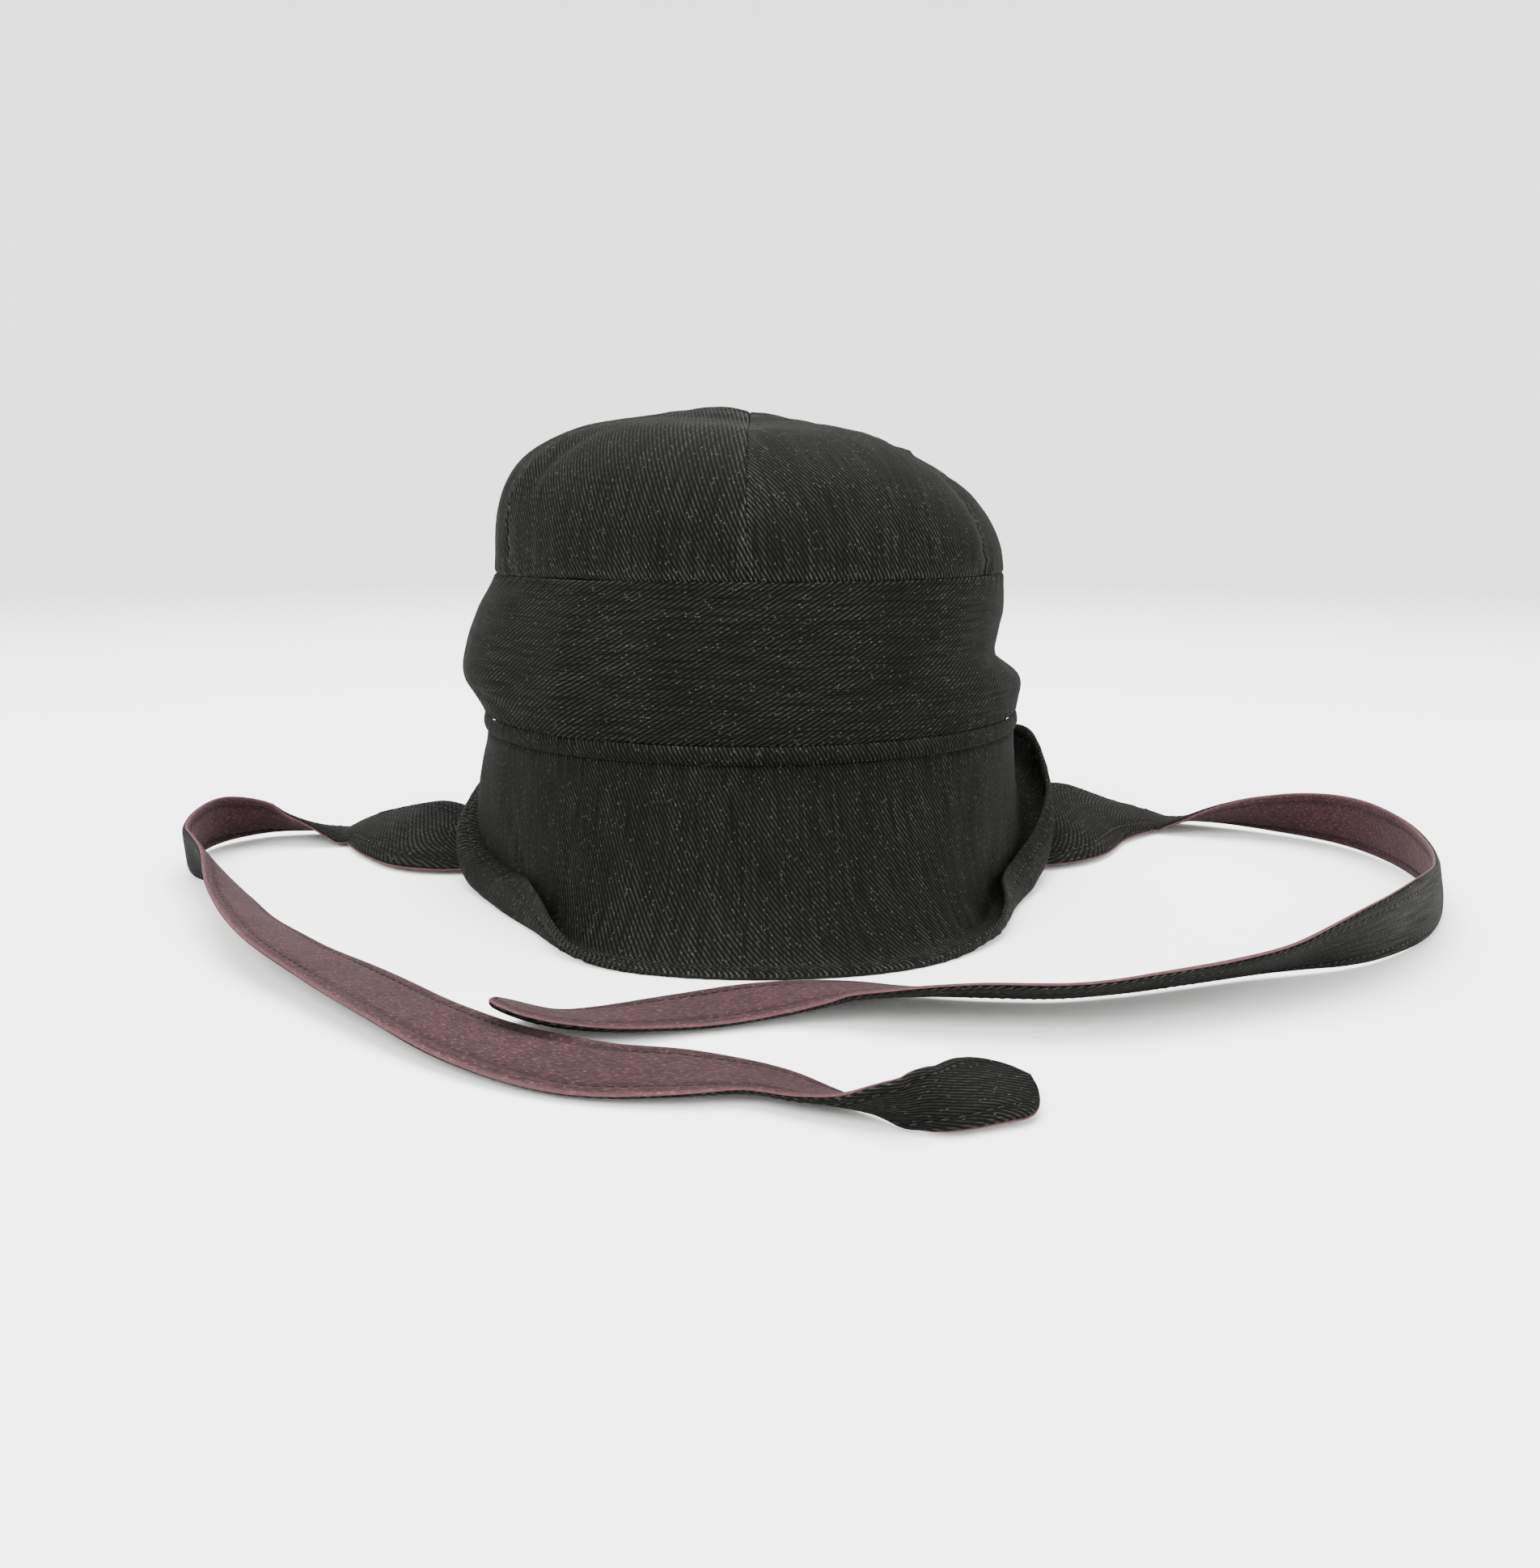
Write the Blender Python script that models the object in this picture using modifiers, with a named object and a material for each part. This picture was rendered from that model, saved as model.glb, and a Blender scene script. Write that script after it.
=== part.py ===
"""Soft denim hat with a wide side band, a rolled brim and two long ties, lying on a flat surface.

The model is in metres, +Z up, with its origin on the surface under the middle of the head opening.
The front of the hat faces -Y. Azimuths are in degrees: 0 at the front, 90 at +X, 180 at the back.
"""

import math
from collections import namedtuple

import bmesh
import bpy
from mathutils import Vector

# The head opening and the sewn rings above it.
HEAD_RADIUS = 0.097
HEAD_OVAL = 1.03
BRIM_SEAM_HEIGHT = 0.055
WELT_HEIGHT = 0.0058
BAND_HEIGHT = 0.0495
CROWN_RISE = 0.0550
CLOTH = 0.0022
SEAM_GAP = 0.0003
SEAM_FOLD = 0.0012

# The crown is cut from gores that meet at its top.
GORES = 6
GORE_SEAM_DIP = 0.0012
GORE_SEAM_WIDTH = 0.005
GORE_TIP_RADIUS = 0.0016

# The brim is one depth of cloth all the way round, and its heel lies on the surface.
BRIM_DEPTH = 0.075
HEEL_SETTLE = 0.0016
SEAM_TURN = 0.008
UNDERSIDE_STEPS = 200

# The ties: a denim ply under a brushed lining ply, wide at the root and round at the tip.
LEFT_TIE_LENGTH = 0.588
RIGHT_TIE_LENGTH = 0.645
TIE_WIDTH = 0.031
DENIM_PLY = 0.0013
LINING_PLY = 0.0012
TIE_CAMBER = 0.0005
FLOOR_CLEARANCE = 0.0002

# How finely each surface is divided.
AROUND = 60
CROWN_ACROSS = 8
CROWN_UP = 8
BAND_UP = 7
BRIM_DOWN = 13
TIE_STATIONS = 62
TIE_ACROSS = 2
TIE_END_STATIONS = 5

WELT_TOP = BRIM_SEAM_HEIGHT + WELT_HEIGHT
BAND_TOP = WELT_TOP + BAND_HEIGHT

# The band's radius at five heights, as shares of the head radius.
BandSection = namedtuple("BandSection", "azimuth top upper middle lower bottom")
BAND_SECTIONS = (
    BandSection(0, 0.955, 0.970, 0.985, 1.000, 1.003),
    BandSection(45, 0.955, 0.962, 0.972, 0.995, 1.003),
    BandSection(90, 0.942, 0.950, 0.940, 1.022, 1.005),
    BandSection(135, 0.950, 0.962, 0.975, 0.992, 1.003),
    BandSection(180, 0.955, 0.972, 0.985, 0.995, 1.003),
    BandSection(225, 0.955, 0.985, 1.010, 1.015, 1.003),
    BandSection(270, 0.950, 1.022, 1.070, 1.082, 1.005),
    BandSection(315, 0.955, 0.990, 1.018, 1.024, 1.003),
)

# How square the crown's shoulder is: 2 is an ellipse and more is squarer.
CrownSection = namedtuple("CrownSection", "azimuth shoulder")
CROWN_SECTIONS = (
    CrownSection(0, 2.6),
    CrownSection(45, 2.25),
    CrownSection(90, 1.95),
    CrownSection(135, 2.1),
    CrownSection(180, 2.5),
    CrownSection(225, 2.9),
    CrownSection(270, 3.3),
    CrownSection(315, 3.0),
)

# Dents and swells of the crown and the band. Depth is a share of the head radius, and a swell is negative.
# climb runs from 0 at the crown's base to 1 at its top, or down the band; spreads are shares of the head radius.
Dent = namedtuple("Dent", "azimuth climb depth spread_around spread_up")
CROWN_DENTS = (
    Dent(2, 0.62, 0.030, 0.42, 0.13),
    Dent(-75, 0.90, -0.030, 0.30, 0.20),
    Dent(70, 0.88, 0.016, 0.34, 0.24),
    Dent(-62, 0.22, -0.018, 0.12, 0.40),
    Dent(70, 0.42, 0.017, 0.28, 0.14),
    Dent(170, 0.60, 0.022, 0.40, 0.15),
)
BAND_DENTS = (
    Dent(90, 0.60, 0.040, 0.55, 0.060),
    Dent(-36, 0.45, -0.022, 0.14, 0.40),
    Dent(-12, 0.55, 0.012, 0.30, 0.25),
    Dent(150, 0.55, 0.022, 0.45, 0.09),
)

# The brim's fall at each azimuth. wall and flare are degrees from straight down, at the seam and above the heel;
# heel_rise is the heel's height as a share of the seam height; roll is the share of the cloth that turns up;
# hem is the direction the hem points, 90 outwards and 180 straight up; depth is a share of the brim's depth.
BrimSection = namedtuple("BrimSection", "azimuth wall flare heel_rise roll hem depth")
BRIM_SECTIONS = (
    BrimSection(0, 17, 60, 0.00, 0.14, 130, 1.00),
    BrimSection(20, 17, 60, 0.00, 0.14, 130, 1.00),
    BrimSection(38, 10, 40, 0.00, 0.24, 158, 1.00),
    BrimSection(54, 3, 10, 0.00, 0.38, 232, 1.04),
    BrimSection(68, 2, 6, 0.03, 0.45, 262, 1.06),
    BrimSection(79, 3, 10, 0.12, 0.47, 240, 0.98),
    BrimSection(90, 5, 16, 0.36, 0.50, 190, 0.78),
    BrimSection(100, 6, 20, 0.56, 0.48, 178, 0.68),
    BrimSection(112, 6, 20, 0.60, 0.48, 172, 0.62),
    BrimSection(128, 6, 22, 0.48, 0.44, 168, 0.66),
    BrimSection(144, 6, 24, 0.25, 0.38, 160, 0.80),
    BrimSection(160, 7, 28, 0.00, 0.30, 148, 0.88),
    BrimSection(180, 8, 30, 0.00, 0.26, 140, 0.90),
    BrimSection(200, 7, 28, 0.00, 0.30, 148, 0.88),
    BrimSection(216, 6, 24, 0.25, 0.38, 160, 0.80),
    BrimSection(232, 6, 20, 0.44, 0.44, 180, 0.68),
    BrimSection(246, 5, 16, 0.52, 0.50, 205, 0.62),
    BrimSection(258, 14, 2, 0.46, 0.50, 238, 0.70),
    BrimSection(268, 18, -2, 0.36, 0.49, 258, 0.78),
    BrimSection(279, 15, -2, 0.20, 0.47, 268, 0.91),
    BrimSection(290, 6, -2, 0.05, 0.47, 272, 1.06),
    BrimSection(305, 0, 2, 0.00, 0.42, 264, 1.10),
    BrimSection(322, 3, 18, 0.00, 0.31, 206, 1.04),
    BrimSection(340, 14, 52, 0.00, 0.16, 138, 1.00),
)

# The way each tie lies. out is away from the hat's middle, to the tie's own side; ahead is to the front;
# rise is above resting on the surface: all shares of the head radius. bank is in degrees, 0 with the lining up,
# 90 with the tie on edge and its lining facing the loop, 180 with the denim up. width is a share of the tie's width.
TieStation = namedtuple("TieStation", "out ahead rise bank width")
LEFT_TIE = (
    TieStation(0.939, 0.020, 0.470, 180, 1.00),
    TieStation(0.944, 0.020, 0.340, 180, 1.04),
    TieStation(0.951, 0.020, 0.215, 180, 1.08),
    TieStation(0.976, 0.020, 0.090, 181, 1.12),
    TieStation(1.040, 0.020, 0.018, 184, 1.18),
    TieStation(1.130, 0.016, 0.000, 191, 1.32),
    TieStation(1.250, -0.020, 0.000, 199, 1.42),
    TieStation(1.410, -0.160, 0.000, 204, 1.28),
    TieStation(1.590, -0.350, 0.000, 197, 0.98),
    TieStation(1.760, -0.370, 0.000, 174, 0.84),
    TieStation(1.900, -0.360, 0.000, 157, 0.80),
    TieStation(2.020, -0.335, 0.000, 141, 0.80),
    TieStation(2.120, -0.250, 0.000, 127, 0.79),
    TieStation(2.175, -0.120, 0.000, 112, 0.76),
    TieStation(2.165, 0.080, 0.000, 98, 0.69),
    TieStation(2.095, 0.270, 0.000, 82, 0.64),
    TieStation(1.970, 0.440, 0.000, 66, 0.70),
    TieStation(1.825, 0.640, 0.000, 52, 0.76),
    TieStation(1.650, 0.945, 0.000, 34, 0.80),
    TieStation(1.410, 1.265, 0.000, 21, 0.92),
    TieStation(1.135, 1.540, 0.000, 13, 0.96),
    TieStation(0.880, 1.800, 0.000, 9, 0.93),
    TieStation(0.630, 2.005, 0.000, 3, 0.96),
    TieStation(0.390, 2.130, 0.000, 0, 1.00),
    TieStation(0.160, 2.175, 0.000, 2, 0.97),
    TieStation(-0.040, 2.225, 0.000, 6, 0.66),
    TieStation(-0.180, 2.325, 0.000, 13, 0.46),
    TieStation(-0.270, 2.390, 0.000, 34, 0.34),
    TieStation(-0.360, 2.440, 0.000, 84, 0.38),
    TieStation(-0.455, 2.425, 0.000, 136, 0.49),
    TieStation(-0.560, 2.350, 0.000, 158, 0.67),
    TieStation(-0.655, 2.290, 0.000, 166, 0.73),
    TieStation(-0.800, 2.208, 0.000, 168, 0.73),
)
RIGHT_TIE = (
    TieStation(0.944, -0.020, 0.470, 180, 1.00),
    TieStation(0.948, -0.020, 0.340, 180, 1.04),
    TieStation(0.954, -0.020, 0.215, 180, 1.08),
    TieStation(0.978, -0.021, 0.090, 181, 1.12),
    TieStation(1.040, -0.028, 0.018, 185, 1.20),
    TieStation(1.125, -0.055, 0.000, 193, 1.30),
    TieStation(1.250, -0.160, 0.000, 204, 1.36),
    TieStation(1.430, -0.430, 0.000, 208, 1.28),
    TieStation(1.680, -0.605, 0.000, 191, 0.96),
    TieStation(1.860, -0.565, 0.000, 171, 0.83),
    TieStation(2.020, -0.495, 0.000, 151, 0.80),
    TieStation(2.150, -0.425, 0.000, 137, 0.79),
    TieStation(2.285, -0.325, 0.000, 126, 0.80),
    TieStation(2.390, -0.180, 0.000, 118, 0.81),
    TieStation(2.450, 0.030, 0.000, 112, 0.80),
    TieStation(2.460, 0.290, 0.000, 106, 0.73),
    TieStation(2.410, 0.565, 0.000, 102, 0.66),
    TieStation(2.300, 0.830, 0.000, 96, 0.68),
    TieStation(2.150, 1.075, 0.000, 86, 0.78),
    TieStation(1.975, 1.270, 0.000, 74, 0.86),
    TieStation(1.815, 1.402, 0.000, 60, 0.93),
    TieStation(1.650, 1.490, 0.000, 46, 0.98),
    TieStation(1.480, 1.560, 0.000, 34, 1.00),
    TieStation(1.280, 1.640, 0.000, 29, 1.00),
    TieStation(1.070, 1.713, 0.000, 27, 1.00),
    TieStation(0.860, 1.755, 0.000, 24, 1.00),
    TieStation(0.620, 1.742, 0.000, 23, 1.00),
    TieStation(0.420, 1.705, 0.000, 17, 1.00),
    TieStation(0.250, 1.660, 0.000, 9, 1.00),
    TieStation(0.060, 1.670, 0.000, 3, 0.96),
    TieStation(-0.150, 1.745, 0.000, 1, 0.85),
    TieStation(-0.360, 1.830, 0.000, 6, 0.76),
    TieStation(-0.500, 1.850, 0.000, 14, 0.68),
    TieStation(-0.620, 1.795, 0.000, 22, 0.66),
    TieStation(-0.800, 1.610, 0.000, 24, 0.66),
)

DENIM = ("washed_black_denim", (0.018, 0.020, 0.018), 0.9)
LINING = ("mauve_brushed_cotton", (0.120, 0.062, 0.070), 0.95)


def material(name, colour, roughness):
    """The cloth's material, made once."""
    made = bpy.data.materials.get(name)
    if made is None:
        made = bpy.data.materials.new(name)
        made.use_nodes = True
        cloth = made.node_tree.nodes["Principled BSDF"]
        cloth.inputs["Base Color"].default_value = (*colour, 1)
        cloth.inputs["Roughness"].default_value = roughness
        cloth.inputs["Metallic"].default_value = 0
    return made


def ease(before, start, end, after, share):
    """A smooth curve through start and end, shaped by the values on either side."""
    rise, lean = end - start, (end - before) / 2
    leave = (after - start) / 2
    square, cube = share * share, share**3
    return (
        start + lean * share + (3 * rise - 2 * lean - leave) * square + (lean + leave - 2 * rise) * cube
    )


def around(table, azimuth, column):
    """A column of a table of sections, read smoothly at any azimuth."""
    azimuth %= 360
    after = next((i for i, row in enumerate(table) if row.azimuth > azimuth), 0)
    rows = [table[(after + step) % len(table)] for step in (-2, -1, 0, 1)]
    span = (rows[2].azimuth - rows[1].azimuth) % 360
    share = ((azimuth - rows[1].azimuth) % 360) / span
    return ease(*(getattr(row, column) for row in rows), share)


def along(values, place):
    """A list of values read smoothly at a place counted in rows."""
    first = min(int(place), len(values) - 2)
    picked = [values[min(max(first + step, 0), len(values) - 1)] for step in (-1, 0, 1, 2)]
    return ease(*picked, place - first)


def ring_point(azimuth, radius, height):
    """A point at an azimuth, on the head's oval."""
    turn = math.radians(azimuth)
    return Vector((radius * math.sin(turn), -radius * HEAD_OVAL * math.cos(turn), height))


def dented(point, azimuth, climb, length, dents, centre):
    """The point moved in or out by each dent that reaches it. length is the surface's length over the climb."""
    outwards = (point - centre).normalized()
    moved = point.copy()
    reach = math.hypot(point.x, point.y)
    for dent in dents:
        turn = math.radians((azimuth - dent.azimuth + 180) % 360 - 180)
        sideways = turn * reach / (dent.spread_around * HEAD_RADIUS)
        upwards = (climb - dent.climb) * length / (dent.spread_up * HEAD_RADIUS)
        moved -= outwards * dent.depth * HEAD_RADIUS * math.exp(-sideways**2 - upwards**2)
    return moved


def seam_rows(v, rows, length, both=True):
    """Even rows of a grid, with the row next to a seam narrowed to the seam's fold."""
    row = round(v * rows)
    fold = SEAM_FOLD / length
    if row == 0 or row == rows:
        return row / rows
    if both:
        return fold + (1 - 2 * fold) * (row - 1) / (rows - 2)
    return fold + (1 - fold) * (row - 1) / (rows - 1)


def band_point(azimuth, fall):
    """The band's outer face, from its top seam (fall 0) to its bottom seam (fall 1)."""
    columns = [around(BAND_SECTIONS, azimuth, name) for name in BandSection._fields[1:]]
    fold = SEAM_FOLD / BAND_HEIGHT
    shaped = min(max(fall, fold), 1 - fold)
    radius = HEAD_RADIUS * along(columns, shaped * (len(columns) - 1))
    height = BAND_TOP - SEAM_GAP / 2 - fall * (BAND_HEIGHT - SEAM_GAP)
    point = ring_point(azimuth, radius, height)
    return dented(point, azimuth, shaped, BAND_HEIGHT, BAND_DENTS, Vector((0, 0, height)))


def welt_point(azimuth, fall):
    """The narrow welt between the band and the brim, pressed flat."""
    radius = HEAD_RADIUS * around(BAND_SECTIONS, azimuth, "bottom")
    return ring_point(azimuth, radius, WELT_TOP - SEAM_GAP / 2 - fall * (WELT_HEIGHT - SEAM_GAP))


def crown_curve(azimuth):
    """The crown's plain outline at an azimuth, from its base to its top, as even steps of cloth."""
    base = HEAD_RADIUS * around(BAND_SECTIONS, azimuth, "top")
    power = 2 / around(CROWN_SECTIONS, azimuth, "shoulder")
    points = []
    for step in range(UNDERSIDE_STEPS + 1):
        turn = math.pi / 2 * step / UNDERSIDE_STEPS
        radius = base * max(math.cos(turn), 0) ** power
        points.append(Vector((radius, CROWN_RISE * math.sin(turn) ** power)))
    return points


def at_share(points, share):
    """The point a share of the way along a line of points, by length."""
    lengths = [(b - a).length for a, b in zip(points, points[1:])]
    left = share * sum(lengths)
    for start, end, length in zip(points, points[1:], lengths):
        if left <= length:
            return start.lerp(end, left / length)
        left -= length
    return points[-1]


def crown_point(azimuth, climb, curve):
    """The crown's outer face, dished in along each gore seam."""
    flat = at_share(curve, climb)
    length = HEAD_RADIUS + CROWN_RISE / 2
    height = BAND_TOP + SEAM_GAP / 2 + flat.y
    if climb * length < SEAM_FOLD * 1.5:
        point = ring_point(azimuth, curve[0].x, height)
    else:
        point = ring_point(azimuth, flat.x, height)
    centre = Vector((0, 0, min(height, BAND_TOP + CROWN_RISE / 4)))
    point = dented(point, azimuth, climb, length, CROWN_DENTS, centre)
    pitch = 360 / GORES
    from_seam = abs((azimuth + pitch / 2) % pitch - pitch / 2)
    off = math.radians(from_seam) * flat.x / GORE_SEAM_WIDTH
    return point - (point - centre).normalized() * GORE_SEAM_DIP * math.exp(-off * off)


def brim_curve(azimuth):
    """The underside of the brim at an azimuth, as (outwards, down) from the seam, seam to hem.

    The cloth falls from the seam, turns level at its heel and rolls up to the hem. Where the roll
    starts is found so that the heel comes down just as far as the section asks.
    """
    depth = BRIM_DEPTH * around(BRIM_SECTIONS, azimuth, "depth")
    wall = around(BRIM_SECTIONS, azimuth, "wall")
    flare = around(BRIM_SECTIONS, azimuth, "flare")
    roll = depth * around(BRIM_SECTIONS, azimuth, "roll")
    hem = around(BRIM_SECTIONS, azimuth, "hem")
    drop = BRIM_SEAM_HEIGHT * (1 - max(around(BRIM_SECTIONS, azimuth, "heel_rise"), 0)) + HEEL_SETTLE
    step = depth / UNDERSIDE_STEPS

    def fall(start):
        place, points = Vector((0, 0)), [Vector((0, 0))]
        for count in range(UNDERSIDE_STEPS):
            run = (count + 0.5) * step
            lean = wall * min(run / SEAM_TURN, 1) + (flare - wall) * min(run / start, 1) ** 2
            share = min(max((run - start) / roll, 0), 1)
            turn = math.radians(lean + (hem - lean) * share * share * (3 - 2 * share))
            place = place + Vector((math.sin(turn), math.cos(turn))) * step
            points.append(place)
        return points

    low, high = 0.05 * depth, depth
    for _ in range(24):
        start = (low + high) / 2
        if max(point.y for point in fall(start)) > drop:
            high = start
        else:
            low = start
    return fall(low)


def brim_point(azimuth, share, curve):
    """The brim's underside, flattened where it lies on the surface."""
    flat = at_share(curve, share)
    height = BRIM_SEAM_HEIGHT - SEAM_GAP / 2 - flat.y
    return ring_point(azimuth, HEAD_RADIUS - CLOTH + flat.x, max(height, 0))


def tie_line(stations, side):
    """The tie's centreline, its banks and its widths, at many even places along the table."""
    per_row = 12
    line = []
    for count in range((len(stations) - 1) * per_row + 1):
        place = count / per_row
        out, ahead, rise, bank, width = (
            along([getattr(row, name) for row in stations], place) for name in TieStation._fields
        )
        width *= TIE_WIDTH
        turn = math.radians(bank)
        below = SEAM_GAP / 2 + max(DENIM_PLY, LINING_PLY) + TIE_CAMBER
        height = rise * HEAD_RADIUS + width / 2 * abs(math.sin(turn)) + below * abs(math.cos(turn))
        centre = Vector((side * out * HEAD_RADIUS, -ahead * HEAD_RADIUS, height + FLOOR_CLEARANCE))
        line.append((centre, bank, width))
    return line


def tie_frame(line, run):
    """The centre, the direction across and the lining's direction at a length along the tie."""
    left = run
    for index in range(len(line) - 1):
        here, there = line[index], line[index + 1]
        length = (there[0] - here[0]).length
        if left <= length or index == len(line) - 2:
            share = left / length
            break
        left -= length
    centre = here[0].lerp(there[0], share)
    before, after = line[max(index - 2, 0)][0], line[min(index + 3, len(line) - 1)][0]
    heading = (after - before).normalized()
    bank = math.radians(here[1] + (there[1] - here[1]) * min(share, 1))
    width = here[2] + (there[2] - here[2]) * min(share, 1)
    return centre, heading, bank, width


def tie_point(line, length, side, run, sideways, ply):
    """A point of one ply's inner face. sideways runs from -1 to 1, and the lining ply is 1, the denim -1."""
    centre, heading, bank, width = tie_frame(line, run)
    level = Vector((heading.x, heading.y, 0)).normalized()
    inside = Vector((side * level.y, -side * level.x, 0))
    across = inside * math.cos(bank) - Vector((0, 0, math.sin(bank)))
    across = (across - heading * across.dot(heading)).normalized()
    lining_side = heading.cross(across) * -side
    tip = max(run - (length - width / 2), 0) / (width / 2)
    half = width / 2 * math.sqrt(max(1 - tip * tip, 0.02))
    lift = -TIE_CAMBER * (1 - sideways * sideways) + ply * SEAM_GAP / 2
    return centre + across * sideways * half + lining_side * lift


def shell(name, columns, rows, place, closed, wall, finish, collection):
    """A cloth piece: a flat grid laid on a surface by place(u, v), given its wall by Solidify."""
    bm = bmesh.new()
    bmesh.ops.create_grid(bm, x_segments=columns, y_segments=rows, size=0.5)
    for vert in bm.verts:
        vert.co = place(vert.co.x + 0.5, vert.co.y + 0.5)
    if closed:
        bmesh.ops.remove_doubles(bm, verts=bm.verts, dist=1e-6)
    mesh = bpy.data.meshes.new(name)
    bm.to_mesh(mesh)
    bm.free()
    mesh.materials.append(material(*finish))
    piece = bpy.data.objects.new(name, mesh)
    collection.objects.link(piece)
    solid = piece.modifiers.new("wall", "SOLIDIFY")
    solid.thickness = abs(wall)
    solid.offset = math.copysign(1, wall)
    solid.use_even_offset = True
    solid.use_quality_normals = True
    mesh.shade_smooth()
    return piece


def make_crown(collection):
    """The gores of the crown, each from seam to seam and from the band to the top."""
    pitch = 360 / GORES
    for number in range(GORES):
        curves = {}

        def place(u, v, first=number * pitch, curves=curves):
            azimuth = first + u * pitch
            if azimuth not in curves:
                curves[azimuth] = crown_curve(azimuth)
            curve = curves[azimuth]
            length = sum((b - a).length for a, b in zip(curve, curve[1:]))
            climb = seam_rows(v, CROWN_UP, length, False) * (1 - GORE_TIP_RADIUS / length)
            reach = at_share(curve, climb).x
            shy = math.degrees(SEAM_GAP / 2 / reach)
            inside = azimuth + shy * (1 - 2 * u)
            return crown_point(inside, climb, curve)

        shell(f"crown_gore_{number + 1}", CROWN_ACROSS, CROWN_UP, place, False, -CLOTH, DENIM, collection)


def make_rings(collection):
    """The side band, the welt under it and the brim."""
    shell(
        "side_band", AROUND, BAND_UP, lambda u, v: band_point(360 * u, 1 - seam_rows(v, BAND_UP, BAND_HEIGHT)),
        True, -CLOTH, DENIM, collection,
    )
    shell("brim_welt", AROUND, 1, lambda u, v: welt_point(360 * u, 1 - v), True, -CLOTH, DENIM, collection)
    curves = {}

    def place(u, v):
        azimuth = 360 * u
        if azimuth not in curves:
            curves[azimuth] = brim_curve(azimuth)
        return brim_point(azimuth, 1 - v, curves[azimuth])

    shell("brim", AROUND, BRIM_DOWN, place, True, CLOTH, DENIM, collection)


def make_tie(name, stations, length, side, collection):
    """One tie: its denim ply and its lining ply, back to back."""
    line = tie_line(stations, side)
    straight = (length - TIE_WIDTH / 2) / length

    def run(u):
        """Even steps to the round tip, and closer ones round it."""
        turn_from = 1 - TIE_END_STATIONS / TIE_STATIONS
        if u <= turn_from:
            return length * straight * u / turn_from
        tip = math.sin(math.pi / 2 * (u - turn_from) / (1 - turn_from))
        return length * (straight + (1 - straight) * tip)

    for ply, wall, suffix, finish in ((-1, DENIM_PLY, "", DENIM), (1, LINING_PLY, "_lining", LINING)):
        shell(
            name + suffix,
            TIE_STATIONS,
            TIE_ACROSS,
            lambda u, v, ply=ply: tie_point(line, length, side, run(u), 2 * v - 1, ply),
            False,
            -wall * ply * side,
            finish,
            collection,
        )


def main():
    for old in list(bpy.data.objects):
        bpy.data.objects.remove(old)
    collection = bpy.data.collections.new("denim_hat_with_ties")
    bpy.context.scene.collection.children.link(collection)
    make_crown(collection)
    make_rings(collection)
    make_tie("left_tie", LEFT_TIE, LEFT_TIE_LENGTH, -1, collection)
    make_tie("right_tie", RIGHT_TIE, RIGHT_TIE_LENGTH, 1, collection)


main()
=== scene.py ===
"""A soft denim hat with a rolled brim and two lined ties, lying on a pale floor.

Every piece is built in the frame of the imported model, in metres, with the hat's front towards -Y.
"""

import math
from collections import namedtuple

import bmesh
import bpy
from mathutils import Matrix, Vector, noise


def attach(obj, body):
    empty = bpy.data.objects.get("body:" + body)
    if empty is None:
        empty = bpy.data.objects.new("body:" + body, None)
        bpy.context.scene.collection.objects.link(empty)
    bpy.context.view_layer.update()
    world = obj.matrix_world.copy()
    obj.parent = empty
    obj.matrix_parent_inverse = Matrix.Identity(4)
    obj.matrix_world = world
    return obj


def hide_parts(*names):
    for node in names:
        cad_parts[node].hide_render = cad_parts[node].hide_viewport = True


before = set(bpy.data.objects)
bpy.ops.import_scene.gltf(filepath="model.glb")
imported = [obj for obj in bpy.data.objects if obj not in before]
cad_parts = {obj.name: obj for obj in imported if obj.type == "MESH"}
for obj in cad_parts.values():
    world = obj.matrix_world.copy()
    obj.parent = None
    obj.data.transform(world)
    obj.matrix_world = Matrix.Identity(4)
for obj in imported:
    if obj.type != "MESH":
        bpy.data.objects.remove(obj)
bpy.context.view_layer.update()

bl_info = {
    "name": "Denim hat with ties",
    "version": (1, 0, 0),
    "blender": (4, 5, 0),
    "location": "3D View > Sidebar > Hat",
    "description": "Builds a soft denim hat with a rolled brim and two lined ties",
    "category": "Object",
}

MM = 0.001
GORES = 6
UNDERSIDE_STEPS = 200
SEAM_TURN = 0.008
HEEL_SETTLE = 0.0016
FLOOR_CLEARANCE = 0.0002
SEAM_GAP = 0.00012

# The band's radius at five heights, as shares of the head radius.
BandSection = namedtuple("BandSection", "azimuth top upper middle lower bottom")
BAND_SECTIONS = (
    BandSection(0, 0.955, 0.970, 0.985, 1.000, 1.003),
    BandSection(45, 0.955, 0.962, 0.972, 0.995, 1.003),
    BandSection(90, 0.942, 0.950, 0.940, 1.022, 1.005),
    BandSection(135, 0.950, 0.962, 0.975, 0.992, 1.003),
    BandSection(180, 0.955, 0.972, 0.985, 0.995, 1.003),
    BandSection(225, 0.955, 0.985, 1.010, 1.015, 1.003),
    BandSection(270, 0.950, 1.022, 1.070, 1.082, 1.005),
    BandSection(315, 0.955, 0.990, 1.018, 1.024, 1.003),
)

# How square the crown's shoulder is: 2 is an ellipse and more is squarer.
CrownSection = namedtuple("CrownSection", "azimuth shoulder")
CROWN_SECTIONS = (
    CrownSection(0, 2.6),
    CrownSection(45, 2.25),
    CrownSection(90, 1.95),
    CrownSection(135, 2.1),
    CrownSection(180, 2.5),
    CrownSection(225, 2.9),
    CrownSection(270, 3.3),
    CrownSection(315, 3.0),
)

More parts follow.
